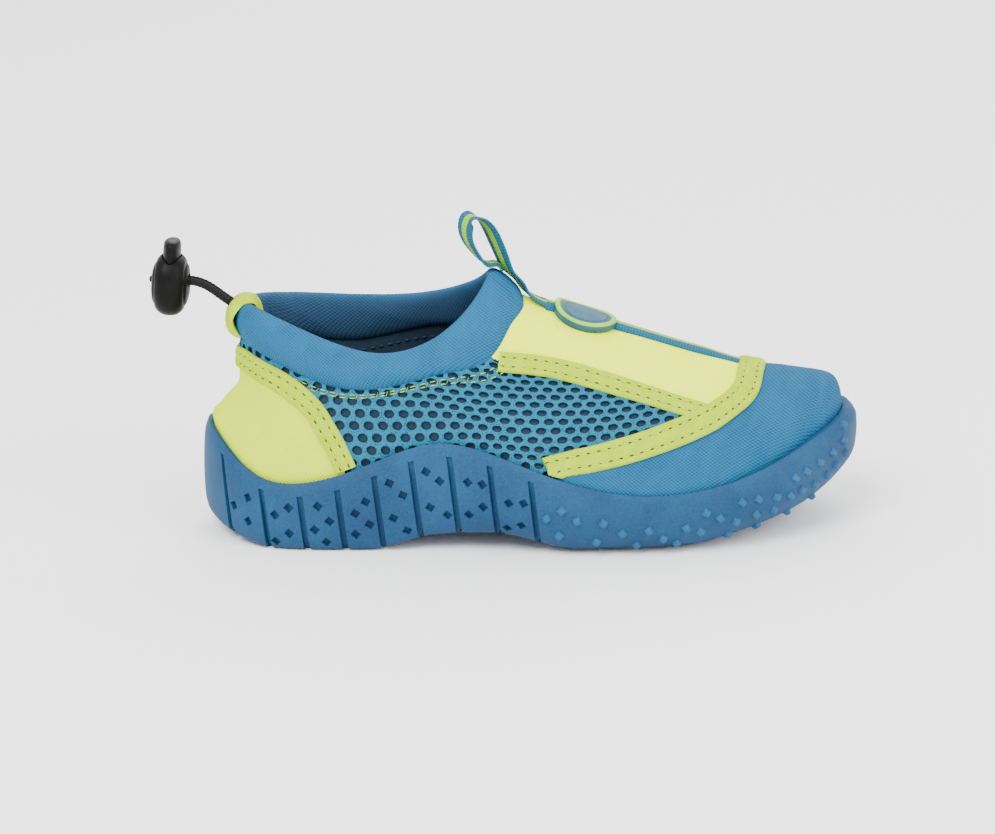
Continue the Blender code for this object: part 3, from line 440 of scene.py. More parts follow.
def new_mesh(name, points, faces, material, maps=None, sharp=60, values=None, map_faces=None):
    """A piece from points in the last's own place, with a surface map in millimetres and named values."""
    points = np.asarray(points, float).reshape(-1, 3) + LAST_AT
    faces = np.asarray(faces)
    mesh = bpy.data.meshes.new(name)
    mesh.vertices.add(len(points))
    mesh.vertices.foreach_set("co", points.ravel())
    loops = faces.ravel()
    mesh.loops.add(len(loops))
    mesh.loops.foreach_set("vertex_index", loops)
    mesh.polygons.add(len(faces))
    mesh.polygons.foreach_set("loop_start", np.arange(len(faces)) * faces.shape[1])
    if maps is not None:
        uv = mesh.uv_layers.new(name="surface")
        flat = np.stack([np.ravel(m) for m in maps], axis=1) / MM
        corners = loops if map_faces is None else np.ravel(map_faces)
        uv.data.foreach_set("uv", flat[corners].ravel())
    for key, array in (values or {}).items():
        layer = mesh.attributes.new(key, "FLOAT", "POINT")
        layer.data.foreach_set("value", np.ravel(array).astype(float))
    mesh.update(calc_edges=True)
    mesh.validate()
    mesh.shade_smooth()
    mesh.set_sharp_from_angle(angle=math.radians(sharp))
    obj = bpy.data.objects.new(name, mesh)
    mesh.materials.append(material)
    collection.objects.link(obj)
    return obj


def quads(rows, columns, wrap_rows=False, wrap_columns=False, keep=None, flip=False):
    """Faces of a grid; keep is a mask by point, and a face stays where all its corners are kept."""
    r = np.arange(rows if wrap_rows else rows - 1)
    c = np.arange(columns if wrap_columns else columns - 1)
    r, c = np.meshgrid(r, c, indexing="ij")
    r, c = r.ravel(), c.ravel()
    r2, c2 = (r + 1) % rows, (c + 1) % columns
    faces = np.stack([r * columns + c, r2 * columns + c, r2 * columns + c2, r * columns + c2], axis=1)
    if keep is not None:
        faces = faces[np.ravel(keep)[faces].all(axis=1)]
    return faces[:, ::-1] if flip else faces


def trimmed(points, faces, *arrays):
    """The same faces with unused points left out."""
    used = np.unique(faces)
    index = np.zeros(len(points), int)
    index[used] = np.arange(len(used))
    return (points[used], index[faces], *(np.ravel(a)[used] for a in arrays))


def caps(sections):
    """Rows for the closed ends of a sweep: its first and last sections drawn in to their middles."""
    ends = sections[[0, -1]]
    middle = ends.mean(axis=1, keepdims=True)
    drawn = middle + (ends - middle) * 0.02
    return np.concatenate([drawn[:1], sections, drawn[1:]])


def inside_outline(x, y, outline):
    """Which places lie within a closed outline."""
    outline = np.asarray(outline, float)
    x, y = np.asarray(x, float), np.asarray(y, float)
    hit = np.zeros(x.shape, bool)
    for (x1, y1), (x2, y2) in zip(outline, np.roll(outline, -1, axis=0)):
        if y1 == y2:
            continue
        crosses = (y1 > y) != (y2 > y)
        hit ^= crosses & (x < (x2 - x1) * (y - y1) / (y2 - y1) + x1)
    return hit


def nearest_distance(points, targets):
    """Distance from each point to the nearest target."""
    flat = points.reshape(-1, 3)
    out = np.empty(len(flat))
    for start in range(0, len(flat), 4000):
        part = flat[start : start + 4000]
        out[start : start + 4000] = np.sqrt(((part[:, None] - targets[None]) ** 2).sum(axis=2).min(axis=1))
    return out.reshape(points.shape[:-1])


def ease(x):
    """A soft step from 0 to 1."""
    x = np.clip(x, 0, 1)
    return x * x * (3 - 2 * x)


# Materials


class Shading:
    """A material's nodes, built one call at a time."""

    def __init__(self, name, roughness, specular=0.5):
        self.material = bpy.data.materials.new(name)
        self.material.use_nodes = True
        self.tree = self.material.node_tree
        self.shader = self.tree.nodes["Principled BSDF"]
        self.shader.inputs["Roughness"].default_value = roughness
        self.shader.inputs["Specular IOR Level"].default_value = specular

    @classmethod
    def on(cls, material):
        """The nodes of a material that is there already."""
        shading = cls.__new__(cls)
        shading.material, shading.tree = material, material.node_tree
        shading.shader = shading.tree.nodes["Principled BSDF"]
        return shading

    def set(self, socket, value):
        if isinstance(value, bpy.types.NodeSocket):
            self.tree.links.new(value, socket)
        else:
            socket.default_value = value

    def node(self, kind, settings=None, output=0, **inputs):
        node = self.tree.nodes.new("ShaderNode" + kind)
        for key, value in (settings or {}).items():
            setattr(node, key, value)
        for key, value in inputs.items():
            name = int(key[1:]) if key[0] == "i" and key[1:].isdigit() else key.replace("_", " ")
            self.set(node.inputs[name], value)
        return node.outputs[output]

    def maths(self, operation, a, b=0.0, c=0.0):
        return self.node("Math", {"operation": operation}, i0=a, i1=b, i2=c)

    def wave(self, length, period):
        """A sine along a length in millimetres."""
        return self.maths("SINE", self.maths("MULTIPLY", length, 2 * math.pi / period))

    def surface(self):
        """The surface map, and its two lengths in millimetres."""
        uv = self.node("UVMap", {"uv_map": "surface"})
        parts = self.tree.nodes.new("ShaderNodeSeparateXYZ")
        self.tree.links.new(uv, parts.inputs[0])
        return uv, parts.outputs[0], parts.outputs[1]

    def place(self):
        return self.node("TexCoord", output=3)

    def dot(self, vector, direction):
        node = self.tree.nodes.new("ShaderNodeVectorMath")
        node.operation = "DOT_PRODUCT"
        self.tree.links.new(vector, node.inputs[0])
        node.inputs[1].default_value = direction
        return node.outputs["Value"]

    def value(self, name):
        return self.node("Attribute", {"attribute_name": name}, output=2)

    def noise(self, scale, vector, detail=3.0, roughness=0.5):
        return self.node("TexNoise", Vector=vector, Scale=scale, Detail=detail, Roughness=roughness)

    def mix(self, factor, a, b, blend="MIX"):
        node = self.tree.nodes.new("ShaderNodeMix")
        node.data_type = "RGBA"
        node.blend_type = blend
        self.set(node.inputs[0], factor)
        for socket, value in ((node.inputs[6], a), (node.inputs[7], b)):
            self.set(socket, value if isinstance(value, bpy.types.NodeSocket) else (*value, 1.0))
        return node.outputs[2]

    def ramp(self, value, low, high, start=0.0, end=1.0):
        smooth = {"interpolation_type": "SMOOTHSTEP"}
        return self.node("MapRange", smooth, i0=value, i1=low, i2=high, i3=start, i4=end)

    def bump(self, height, distance, strength=1.0, normal=None):
        node = self.tree.nodes.new("ShaderNodeBump")
        node.inputs["Strength"].default_value = strength
        node.inputs["Distance"].default_value = distance
        self.set(node.inputs["Height"], height)
        if normal is not None:
            self.set(node.inputs["Normal"], normal)
        return node.outputs[0]

    def done(self, color=None, normal=None, roughness=None):
        if color is not None:
            paint = (*color, 1.0) if isinstance(color, tuple) else color
            self.set(self.shader.inputs["Base Color"], paint)
        if normal is not None:
            self.set(self.shader.inputs["Normal"], normal)
        if roughness is not None:
            self.set(self.shader.inputs["Roughness"], roughness)
        return self.material


# The knit's two directions over the shoe, in millimetres for each metre: along it, sideways, and up
KNIT_ALONG = (850, 450, 100)
KNIT_UP = (0, -500, 850)
KNIT_PITCH = 1.0
KNIT_ROW = 0.9


def knit(name, light, dark, blotch=0.12, gloss=0.12):
    """A fine stretch knit: a raised grid of loops, lightly mottled."""
    s = Shading(name, 0.85, gloss)
    uv = s.surface()[0]
    place = s.place()
    facing = s.maths("SIGN", s.dot(s.node("NewGeometry", output=1), (0, 1, 0)))
    sideways = s.maths("MULTIPLY", facing, s.dot(place, (0, 1, 0)))
    u, v = (
        s.maths("MULTIPLY_ADD", sideways, aside, s.dot(place, (ahead, 0, up)))
        for ahead, aside, up in (KNIT_ALONG, KNIT_UP)
    )
    a = s.wave(u, KNIT_PITCH)
    b = s.wave(v, KNIT_ROW)
    loops = s.maths("MULTIPLY_ADD", s.maths("MULTIPLY", a, b), 0.5, 0.5)
    patches = s.noise(0.11, uv, 4.0, 0.6)
    tone = s.maths("MULTIPLY_ADD", loops, 0.62, s.maths("MULTIPLY", patches, blotch * 4))
    tone = s.ramp(tone, 0.05, 0.95)
    color = s.mix(tone, dark, light)
    fuzz = s.noise(3.0, uv, 3.0, 0.7)
    bump = s.bump(loops, 0.12 * MM, 1.0)
    bump = s.bump(fuzz, 0.05 * MM, 0.5, bump)
    return s.done(color, bump)


def binding_cloth(name, light, dark):
    """A flat woven binding: tight slanting ribs along the strip."""
    s = Shading(name, 0.8, 0.02)
    uv, u, v = s.surface()
    slant = s.maths("MULTIPLY_ADD", v, 0.6, u)
    ribs = s.wave(slant, 0.60)
    cross = s.wave(v, 0.5)
    weave = s.maths("MULTIPLY_ADD", s.maths("MULTIPLY", ribs, cross), 0.5, 0.5)
    patches = s.noise(0.25, uv, 3.0, 0.6)
    tone = s.maths("MULTIPLY_ADD", weave, 0.45, s.maths("MULTIPLY", patches, 0.6))
    color = s.mix(s.ramp(tone, 0.1, 0.9), dark, light)
    bump = s.bump(weave, 0.1 * MM, 0.8)
    bump = s.bump(s.noise(1.2, uv, 3.0), 0.12 * MM, 0.5, bump)
    return s.done(color, bump)


def moulded_rubber(name, light, dark):
    """Foamed rubber with a fine matt grain."""
    s = Shading(name, 0.68, 0.16)
    place = s.place()
    fine = s.noise(1700.0, place, 4.0, 0.7)
    wide = s.noise(60.0, place, 4.0, 0.55)
    tone = s.maths("MULTIPLY_ADD", fine, 0.60, s.maths("MULTIPLY", wide, 0.40))
    color = s.mix(s.ramp(tone, 0.32, 0.68), dark, light)
    rough = s.ramp(fine, 0.2, 0.8, 0.52, 0.72)
    return s.done(color, s.bump(fine, 0.05 * MM, 0.7), rough)


def thread(name, color, dark):
    """Sewing thread with its twist."""
    s = Shading(name, 0.6, 0.2)
    place = s.place()
    twist = s.noise(5200.0, place, 2.0)
    return s.done(s.mix(s.ramp(twist, 0.3, 0.7), dark, color), s.bump(twist, 0.04 * MM, 0.6))


# Places of the strips, tape and badge on the last, for the outer side
HEEL_BAND_PATH = [
    (2.91, 1.12),
    (2.88, 1.6),
    (2.82, 2.5),
    (2.68, 3.85),
    (2.45, 4.9),
    (2.1, 5.38),
    (1.55, 5.45),
    (0.78, 5.38),
]
TOE_BAND_PATH = [
    (5.14, 1.35),
    (5.45, 2.15),
    (6.0, 2.68),
    (6.5, 2.75),
    (7.0, 2.85),
    (7.5, 3.12),
    (8.1, 3.42),
    (8.55, 3.68),
]
EYESTAY_PATH = [(6.17, 5.86), (6.4, 5.55), (6.64, 5.15), (6.9, 4.5), (7.1, 3.85), (7.25, 3.2)]
TAPE_PATH = [(TOE, 3.86), (TOE, 4.08), (TOE, 4.6), (TOE, 5.2), (TOE, 5.72)]
BADGE_CENTRE = (TOE - 0.32, 5.36)
TOE_MIDDLE = (TOE, 3.78)
HEEL_MIDDLE = (0.0, 5.1)
BAND_FOOT = 1.1

# Panels as outlines of (station, level) on one side of the foot; stations fold at the heel and the toe
TOE_AREA = [(5.0, 0.5), *TOE_BAND_PATH, TOE_MIDDLE, (9.1, 3.78), (9.1, 0.5)]
HEEL_AREA = [(-0.1, 0.5), (2.91, 0.5), *HEEL_BAND_PATH, HEEL_MIDDLE, (-0.1, 5.1)]
# The level at which the panels and the mesh end, under the collar
PANEL_TOP = 6.3
VAMP_AREA = [(6.0, PANEL_TOP), *EYESTAY_PATH, *TOE_BAND_PATH[5:], TOE_MIDDLE, (9.1, 3.78), (9.1, PANEL_TOP)]
MESH_AREA = [
    (2.91, 0.7),
    *HEEL_BAND_PATH,
    HEEL_MIDDLE,
    (-0.4, 5.1),
    (-0.4, 6.4),
    (6.1, 6.4),
    *EYESTAY_PATH,
    *TOE_BAND_PATH[4::-1],
    (5.1, 0.7),
]

# Colours, as linear values
TEAL = (0.012, 0.110, 0.225)
TEAL_DARK = (0.004, 0.046, 0.112)
LEMON = (0.880, 1.000, 0.000)
LEMON_DARK = (0.740, 0.900, 0.000)
BUTTER = (0.600, 0.760, 0.000)
BUTTER_DARK = (0.430, 0.590, 0.000)
NEON = (0.450, 0.610, 0.000)
NEON_DARK = (0.260, 0.390, 0.000)
SOLE_LIGHT = (0.011, 0.064, 0.144)
SOLE_DARK = (0.005, 0.032, 0.086)


def both_sides(path, middle):
    """A path over the foot: the outer side's, a middle point and the outer side's mirror."""
    turn = 2 * middle[0]
    return path + [middle] + [(turn - station, level) for station, level in path[::-1]]


def inner_side(path):
    return [(STATIONS - station, level) for station, level in path]


def folded(station):
    """The station on the outer side that mirrors this one."""
    station = np.mod(station, STATIONS)
    return np.minimum(station, STATIONS - station)


def pixels(points):
    """Where points of the last's own place show in the photograph, in pixels, and how far off they are."""
    ahead = np.array([0.0, math.cos(ELEVATION), -math.sin(ELEVATION)])
    up = np.array([0.0, math.sin(ELEVATION), math.cos(ELEVATION)])
    away = points + LAST_AT - (TARGET - DISTANCE * ahead)
    depth = away @ ahead
    scale = FOCAL / SENSOR * WIDTH_PX / depth
    x, y = away[..., 0] * scale, (away @ up) * scale
    c, s = math.cos(ROLL), math.sin(ROLL)
    return TARGET_PX[0] + x * c - y * s, TARGET_PX[1] - x * s - y * c, depth


def soft_noise(points, size, seed=0.0):
    """A smooth wandering value between about -1 and 1."""
    p = points / size
    x, y, z = p[..., 0] + seed, p[..., 1] + 1.7 * seed, p[..., 2] - seed
    a = np.sin(1.9 * x + 1.3 * np.sin(1.1 * z + 0.5) + 0.7 * y)
    b = np.sin(2.3 * z + 1.1 * np.sin(0.9 * x + 1.9) - 0.6 * y)
    c = np.sin(1.4 * y + 1.2 * np.sin(1.3 * x - 0.8 * z))
    return (a + b + c) / 3


# Creases on the near side, by the pixel of the photograph at each end: width is half the trough's width in
# millimetres and depth how far it goes in.
CREASES = [
    # x1, y1, x2, y2, width, depth
    (222, 372, 262, 402, 2.2, 0.45),
    (216, 396, 250, 424, 2.4, 0.40),
    (238, 368, 292, 430, 3.0, 0.35),
    (230, 418, 268, 452, 3.2, -0.35),
    (560, 318, 640, 338, 5.0, 0.35),
    (640, 350, 700, 372, 5.0, 0.30),
    (700, 440, 800, 408, 6.0, 0.45),
    (640, 476, 760, 452, 6.5, 0.40),
    (790, 374, 846, 392, 4.0, -0.30),
]


def creased(points):
    """How far each point goes in at the creases."""
    x, y, depth = pixels(points)
    scale = FOCAL / SENSOR * WIDTH_PX / depth * MM
    near = np.where(points[..., 1] < 0.004, 1.0, 0.0)
    total = np.zeros(x.shape)
    for x1, y1, x2, y2, width, deep in CREASES:
        run = np.array([x2 - x1, y2 - y1], float)
        length = np.hypot(*run)
        t = ((x - x1) * run[0] + (y - y1) * run[1]) / length**2
        off = np.hypot(x - x1 - np.clip(t, 0, 1) * run[0], y - y1 - np.clip(t, 0, 1) * run[1])
        ends = ease(1 - np.abs(np.clip(t, 0, 1) - 0.5) * 1.3)
        total += deep * MM * np.exp(-((off / (width * scale)) ** 2)) * ends * near
    return total


# Camera


def set_camera():
    data = bpy.data.cameras.new("camera")
    data.lens = FOCAL
    data.sensor_width = SENSOR
    data.shift_x = (WIDTH_PX / 2 - TARGET_PX[0]) / WIDTH_PX
    data.shift_y = (TARGET_PX[1] - HEIGHT_PX / 2) / WIDTH_PX
    camera = bpy.data.objects.new("camera", data)
    ahead = Vector((0, math.cos(ELEVATION), -math.sin(ELEVATION)))
    place = Vector(TARGET) - ahead * DISTANCE
    turn = Matrix.Rotation(math.radians(90) - ELEVATION, 4, "X") @ Matrix.Rotation(-ROLL, 4, "Z")
    camera.matrix_world = Matrix.Translation(place) @ turn
    bpy.context.scene.collection.objects.link(camera)
    bpy.context.scene.camera = camera


set_camera()

# The cord's middle line on the outer side, from inside the collar's roll at the heel to its loop behind the
# lock. It comes back along the same line on the inner side.
CORD_ROUTE = [
    # share of the cord's reach back, share of its rise
    (0.000, 0.000),
    (0.084, 0.167),
    (0.186, 0.369),
    (0.288, 0.583),
    (0.389, 0.762),
    (0.513, 0.893),
    (0.650, 0.952),
    (0.770, 0.976),
    (0.885, 0.988),
    (1.000, 1.000),
]
IN_LOCK = 7
LOCK_BACK = 0.835
LOCK_BELOW = 1.2 * MM


def cord_point(back, rise):
    """Length and height of a place on the cord's middle line."""
    x = COLLAR_SETBACK - CORD_START_IN - back * CORD_REACH
    return x, HEEL_HEIGHT - CORD_START_DOWN + rise * CORD_RISE


def tube(line, radius, sides, twist=0.0, strands=0, swell=0.0):
    """Rings round a line, whose surface can show twisted strands."""
    ahead = unit(np.gradient(line, axis=0))
    across = unit(np.cross(ahead, [0, 0, 1.0]))
    over = np.cross(across, ahead)
    angle = np.linspace(0, 2 * math.pi, sides, endpoint=False)[None]
    run = run_length(line)[:, None]
    size = radius * (1 + swell * np.cos(strands * (angle - run * twist)))
    ring = across[:, None] * np.cos(angle)[..., None] + over[:, None] * np.sin(angle)[..., None]
    return line[:, None] + ring * size[..., None]


def sweep(name, sections, material, maps=None):
    """A closed piece through sections of points, drawn in at both ends."""
    rings = caps(sections)
    if maps is None:
        maps = surface_maps(rings)
    rows, columns = rings.shape[:2]
    faces = quads(rows, columns, wrap_columns=True)
    i = np.arange(columns // 2 - 1)
    end = np.stack([i, i + 1, columns - 2 - i, columns - 1 - i], axis=1)
    faces = np.concatenate([faces, end, end + (rows - 1) * columns])
    return new_mesh(name, rings, faces, material, maps)


def elastic_material():
    s = Shading("black_braid", 0.8, 0.12)
    _, u, v = s.surface()
    a = s.wave(s.maths("ADD", u, v), 1.1)
    b = s.wave(s.maths("SUBTRACT", u, v), 1.1)
    braid = s.maths("MULTIPLY_ADD", s.maths("MAXIMUM", a, b), 0.5, 0.5)
    color = s.mix(braid, (0.002, 0.002, 0.002), (0.010, 0.010, 0.011))
    return s.done(color, s.bump(braid, 0.14 * MM, 0.9))


def cord_line():
    half = CORD_SPACING / 2
    route = [cord_point(*place) for place in CORD_ROUTE]
    points = [(x, -half, z) for x, z in route]
    turn_x, turn_z = points[-1][0], points[-1][2]
    for degrees in (45, 90, 135):
        angle = math.radians(degrees)
        points.append((turn_x - math.sin(angle) * half, -math.cos(angle) * half, turn_z))
    points += [(x, half, z) for x, z in route[::-1]]
    return np.array(points)


line = spline_through(cord_line(), 220)
braid = tube(line, CORD_DIAMETER / 2 * 0.98, 14, 2600, 2, 0.035)
drawcord = sweep("drawcord_braid", braid, elastic_material())


def lock_material():
    s = Shading("black_moulding", 0.42, 0.08)
    place = s.place()
    fine = s.noise(1800.0, place, 3.0, 0.6)
    wear = s.noise(220.0, place, 3.0, 0.6)
    rough = s.ramp(wear, 0.25, 0.8, 0.36, 0.55)
    color = s.mix(s.ramp(wear, 0.45, 0.8), (0.0030, 0.0028, 0.0028), (0.0060, 0.0056, 0.0056))
    return s.done(color, s.bump(fine, 0.03 * MM, 0.5), rough)


def lock_place():
    """The lock's own axes: it leans a little, its button upwards."""
    x, z = cord_point(LOCK_BACK, CORD_ROUTE[IN_LOCK][1])
    at = Vector(LAST_AT) + Vector((x, 0, z - LOCK_BELOW))
    return Matrix.Translation(at) @ Matrix.Rotation(LOCK_LEAN, 4, "Y")


def cut(obj, cutter):
    """Take a cutter's shape out of a piece, at once."""
    modifier = obj.modifiers.new("cut", "BOOLEAN")
    modifier.operation = "DIFFERENCE"
    modifier.solver = "EXACT"
    modifier.object = cutter
    graph = bpy.context.evaluated_depsgraph_get()
    shape = bpy.data.meshes.new_from_object(obj.evaluated_get(graph))
    obj.modifiers.clear()
    old = obj.data
    obj.data = shape
    bpy.data.meshes.remove(old)
    bpy.data.objects.remove(cutter)


def build_lock(material):
    """The egg-shaped lock: a barrel with a raised band between two grooves, a pin mark and a push button."""
    rows, columns = 72, 96
    lat = np.linspace(-math.pi / 2, math.pi / 2, rows)[:, None]
    lon = np.linspace(0, 2 * math.pi, columns, endpoint=False)[None]
    ball = (np.cos(lat) * np.cos(lon), np.cos(lat) * np.sin(lon), np.sin(lat))
    shape = np.stack(np.broadcast_arrays(*ball), axis=2)
    shape = np.sign(shape) * np.abs(shape) ** 0.82
    groove = sum(np.exp(-(((shape[..., 0] - side * 0.80) / 0.045) ** 2)) for side in (-1, 1))
    mark = np.exp(-(((shape[..., 0] + 0.08) ** 2 + (shape[..., 2] + 0.42) ** 2) / 0.0065))
    mark = np.where(shape[..., 1] < 0, mark, 0.0)
    size = np.array([LOCK_LENGTH, LOCK_WIDTH, LOCK_HEIGHT]) / 2
    points = shape * size
    reach = np.linalg.norm(points, axis=2, keepdims=True)
    sunk = (groove * 0.30 + mark * 0.22 - mark**4 * 0.4)[..., None]
    points *= 1 - sunk * MM / reach
    skin = quads(rows, columns, wrap_columns=True)
    body = new_mesh("cord_lock_body", points - LAST_AT, skin, material, sharp=50)
    body.matrix_world = lock_place()
    floor = LOCK_BELOW + CORD_DIAMETER / 2 + 3 * GAP
    clear = 2 * BUTTON_CLEARANCE
    pocket = oval_bar("pocket", BUTTON_LENGTH + clear, BUTTON_WIDTH + clear, LOCK_HEIGHT)
    pocket.matrix_world = lock_place() @ Matrix.Translation((0, 0, floor))
    bpy.ops.mesh.primitive_cube_add(size=1.0)
    passage = bpy.context.object
    wide = CORD_SPACING + CORD_DIAMETER + 4 * GAP
    passage.scale = (LOCK_LENGTH + 4 * MM, wide, CORD_DIAMETER + 4 * GAP)
    passage.location = lock_place().translation + Vector((0, 0, LOCK_BELOW))
    bpy.context.view_layer.update()
    cut(body, pocket)
    cut(body, passage)
    foot = floor + BUTTON_TRAVEL + GAP
    tall = LOCK_HEIGHT / 2 + BUTTON_STANDS - foot
    button = push_button(tall, material)
    button.matrix_world = lock_place() @ Matrix.Translation((0, 0, foot))
    return body, button


def oval_bar(name, width, depth, height, sides=48):
    bpy.ops.mesh.primitive_cylinder_add(vertices=sides, radius=0.5, depth=1.0)
    bar = bpy.context.object
    bar.name = name
    bar.data.transform(Matrix.Diagonal((width, depth, height, 1.0)) @ Matrix.Translation((0, 0, 0.5)))
    return bar


def push_button(tall, material):
    """The button: an oval paddle with a rounded top."""
    profile = [(0.97, 0.0), (1.0, 0.04), (1.0, 0.45), (0.99, 0.62), (0.97, 0.78), (0.91, 0.88), (0.80, 0.945)]
    profile += [(0.62, 0.985), (0.42, 0.998), (0.2, 1.0), (0.02, 1.0)]
    angle = np.linspace(0, 2 * math.pi, 56, endpoint=False)
    rings = []
    for out, up in [(0.02, 0.0), (0.5, 0.0)] + profile:
        x, y = np.cos(angle) * BUTTON_LENGTH / 2 * out, np.sin(angle) * BUTTON_WIDTH / 2 * out
        rings.append(np.stack([x, y, np.full(56, up * tall)], axis=1))
    rings = np.array(rings)
    faces = quads(len(rings), 56, wrap_columns=True)
    return new_mesh("cord_lock_button", rings - LAST_AT, faces, material, sharp=50)


black_plastic = lock_material()
lock_body, lock_button = build_lock(black_plastic)

# Upper


def strip_lines(path, width, count, offsets):
    """Stations and levels of lines along a strip, at these shares of its width from its middle."""
    places = spline_through(path, count)
    ahead = np.gradient(last(places[:, 0], places[:, 1]), axis=0)
    normal = last_axes(places[:, 0], places[:, 1])[2]
    across = unit(np.cross(normal, ahead))
    lines = []
    for share in offsets:
        s, l = beside(places[:, 0], places[:, 1], across, np.full(count, width * share))
        lines.append(np.stack([s, np.maximum(l, BAND_FOOT)], axis=1))
    return np.array(lines)


def seams(points):
    """Distance from points to the nearest seam or to the sole's edge."""
    lines = [both_sides(TOE_BAND_PATH, TOE_MIDDLE), both_sides(HEEL_BAND_PATH, HEEL_MIDDLE)]
    lines += [EYESTAY_PATH, inner_side(EYESTAY_PATH)]
    targets = [last(*spline_through(line, 120).T) for line in lines]
    round_it = np.linspace(0, STATIONS, 240, endpoint=False)
    targets.append(last(round_it, np.full(240, 1.0)))
    targets.append(last(round_it, np.full(240, 6.0)))
    return nearest_distance(points, np.concatenate(targets))


def build_panels():
    """The neoprene panels of the upper: toe cap, vamp and heel, puffed a little between their seams."""
    rows, columns = 520, 120
    s = even_stations(0, STATIONS, rows)
    l = even_levels(0.8, PANEL_TOP, columns)
    stations, levels, base = grid_of(s, l)
    off = seams(base)
    puff = 0.08 * MM + 0.32 * MM * ease((off - 2.5 * MM) / (7 * MM)) * ease((levels - 1.0) / 0.8)
    points = last(stations, levels, puff - creased(base) + 0.12 * MM * soft_noise(base, 9 * MM))
    maps = surface_maps(points)
    fold = np.minimum(stations, STATIONS - stations)
    made = {}
    finishes = {
        "toe_cap": (TOE_AREA, knit("blue_neoprene", TEAL, TEAL_DARK)),
        "vamp": (VAMP_AREA, knit("lemon_neoprene", LEMON, LEMON_DARK, blotch=0.06, gloss=0.02)),
        "heel_panel": (HEEL_AREA, knit("butter_neoprene", BUTTER, BUTTER_DARK, blotch=0.14, gloss=0.02)),
    }
    for name, (area, material) in finishes.items():
        keep = inside_outline(fold, levels, area)
        faces = quads(rows, columns, keep=keep)
        flat = points.reshape(-1, 3)
        part, faces, u, v = trimmed(flat, faces, *maps)
        made[name] = new_mesh(name, part, faces, material, (u, v))
    return made


def lining_material():
    s = Shading("navy_lining", 0.9)
    uv, u, v = s.surface()
    a = s.wave(u, 0.7)
    b = s.wave(v, 0.7)
    weave = s.maths("MULTIPLY_ADD", s.maths("MULTIPLY", a, b), 0.5, 0.5)
    tone = s.maths("MULTIPLY_ADD", weave, 0.5, s.maths("MULTIPLY", s.noise(0.15, uv), 0.6))
    color = s.mix(tone, (0.003, 0.018, 0.036), (0.007, 0.034, 0.064))
    return s.done(color, s.bump(weave, 0.08 * MM, 0.8))


def build_lining(material):
    """The lining: a thin wall behind the mesh, whose inner face shows through the collar."""
    rows = 300
    s = even_stations(0, STATIONS, rows + 1)
    l = even_levels(0.05, PANEL_TOP, 60)
    stations, levels, outer = grid_of(s, l, -1.05 * MM)
    inner = last(stations, levels, -UPPER_WALL)
    points = np.concatenate([outer, inner[:, ::-1]], axis=1)
    faces = quads(rows + 1, points.shape[1], wrap_columns=True)
    return new_mesh("lining", points, faces, material, surface_maps(points))


# Side mesh with its round holes

HOLE_PITCH = 4.15 * MM
HOLE_RADIUS = 1.36 * MM
HOLE_DEPTH = 0.8 * MM
HOLE_SIDES = 24


def flat_map(side):
    """A near-flat map of one side of the foot: lengths along and up it, over stations and levels."""
    s, l = np.linspace(-0.7, 8.2, 260), np.linspace(0.55, 6.75, 110)
    grid_s, grid_l = np.meshgrid(s, l, indexing="ij")
    points = last(side * grid_s, grid_l)
    along, up = surface_maps(points)
    middle, level = np.abs(s - 4.4).argmin(), np.abs(l - 3.4).argmin()
    u = along - along[middle] + points[middle, :, 0]
    v = up - up[:, level : level + 1] + points[:, level : level + 1, 2]
    return s, l, u, v


def sample(table, i, j):
    """Values between the points of a table."""
    i = np.clip(i, 0, table.shape[0] - 1.001)
    j = np.clip(j, 0, table.shape[1] - 1.001)
    a, b = i.astype(int), j.astype(int)
    x, y = i - a, j - b
    low = table[a, b] * (1 - y) + table[a, b + 1] * y
    high = table[a + 1, b] * (1 - y) + table[a + 1, b + 1] * y
    return low * (1 - x) + high * x


def places_on(map_of_side, u, v, guess_i, guess_j):
    """Stations and levels of places on the flat map."""
    s, l, table_u, table_v = map_of_side
    slopes = [*np.gradient(table_u), *np.gradient(table_v)]
    i, j = guess_i.copy(), guess_j.copy()
    for _ in range(14):
        du, dv = u - sample(table_u, i, j), v - sample(table_v, i, j)
        ui, uj, vi, vj = (sample(t, i, j) for t in slopes)
        det = ui * vj - uj * vi
        det = np.where(np.abs(det) < 1e-12, 1e-12, det)
        i = np.clip(i + np.clip((vj * du - uj * dv) / det, -6, 6), 0, len(s) - 1.001)
        j = np.clip(j + np.clip((ui * dv - vi * du) / det, -6, 6), 0, len(l) - 1.001)
    return s[0] + i * (s[1] - s[0]), l[0] + j * (l[1] - l[0])


def mesh_material():
    s = Shading("blue_mesh", 0.85, 0.1)
    uv = s.surface()[0]
    cells = s.node("TexVoronoi", {"feature": "F1"}, Vector=uv, Scale=2.0, Randomness=0.7)
    pores = s.ramp(cells, 0.08, 0.45)
    yarn = s.noise(4.0, uv, 2.0)
    # deep is 0 on the cells' faces and 1 at the holes' bottoms; the colour darkens with it, painted shade
    # inside the holes
    deep = s.value("deep")
    tone = s.maths("MULTIPLY_ADD", pores, 0.75, s.maths("MULTIPLY", yarn, 0.5))
    face = s.mix(s.ramp(tone, 0.1, 1.05), (0.002, 0.019, 0.044), (0.013, 0.126, 0.210))
    color = s.mix(deep, face, (0.003, 0.022, 0.042))
    bump = s.bump(pores, 0.16 * MM, 0.9)
    return s.done(color, s.bump(yarn, 0.08 * MM, 0.6, bump))


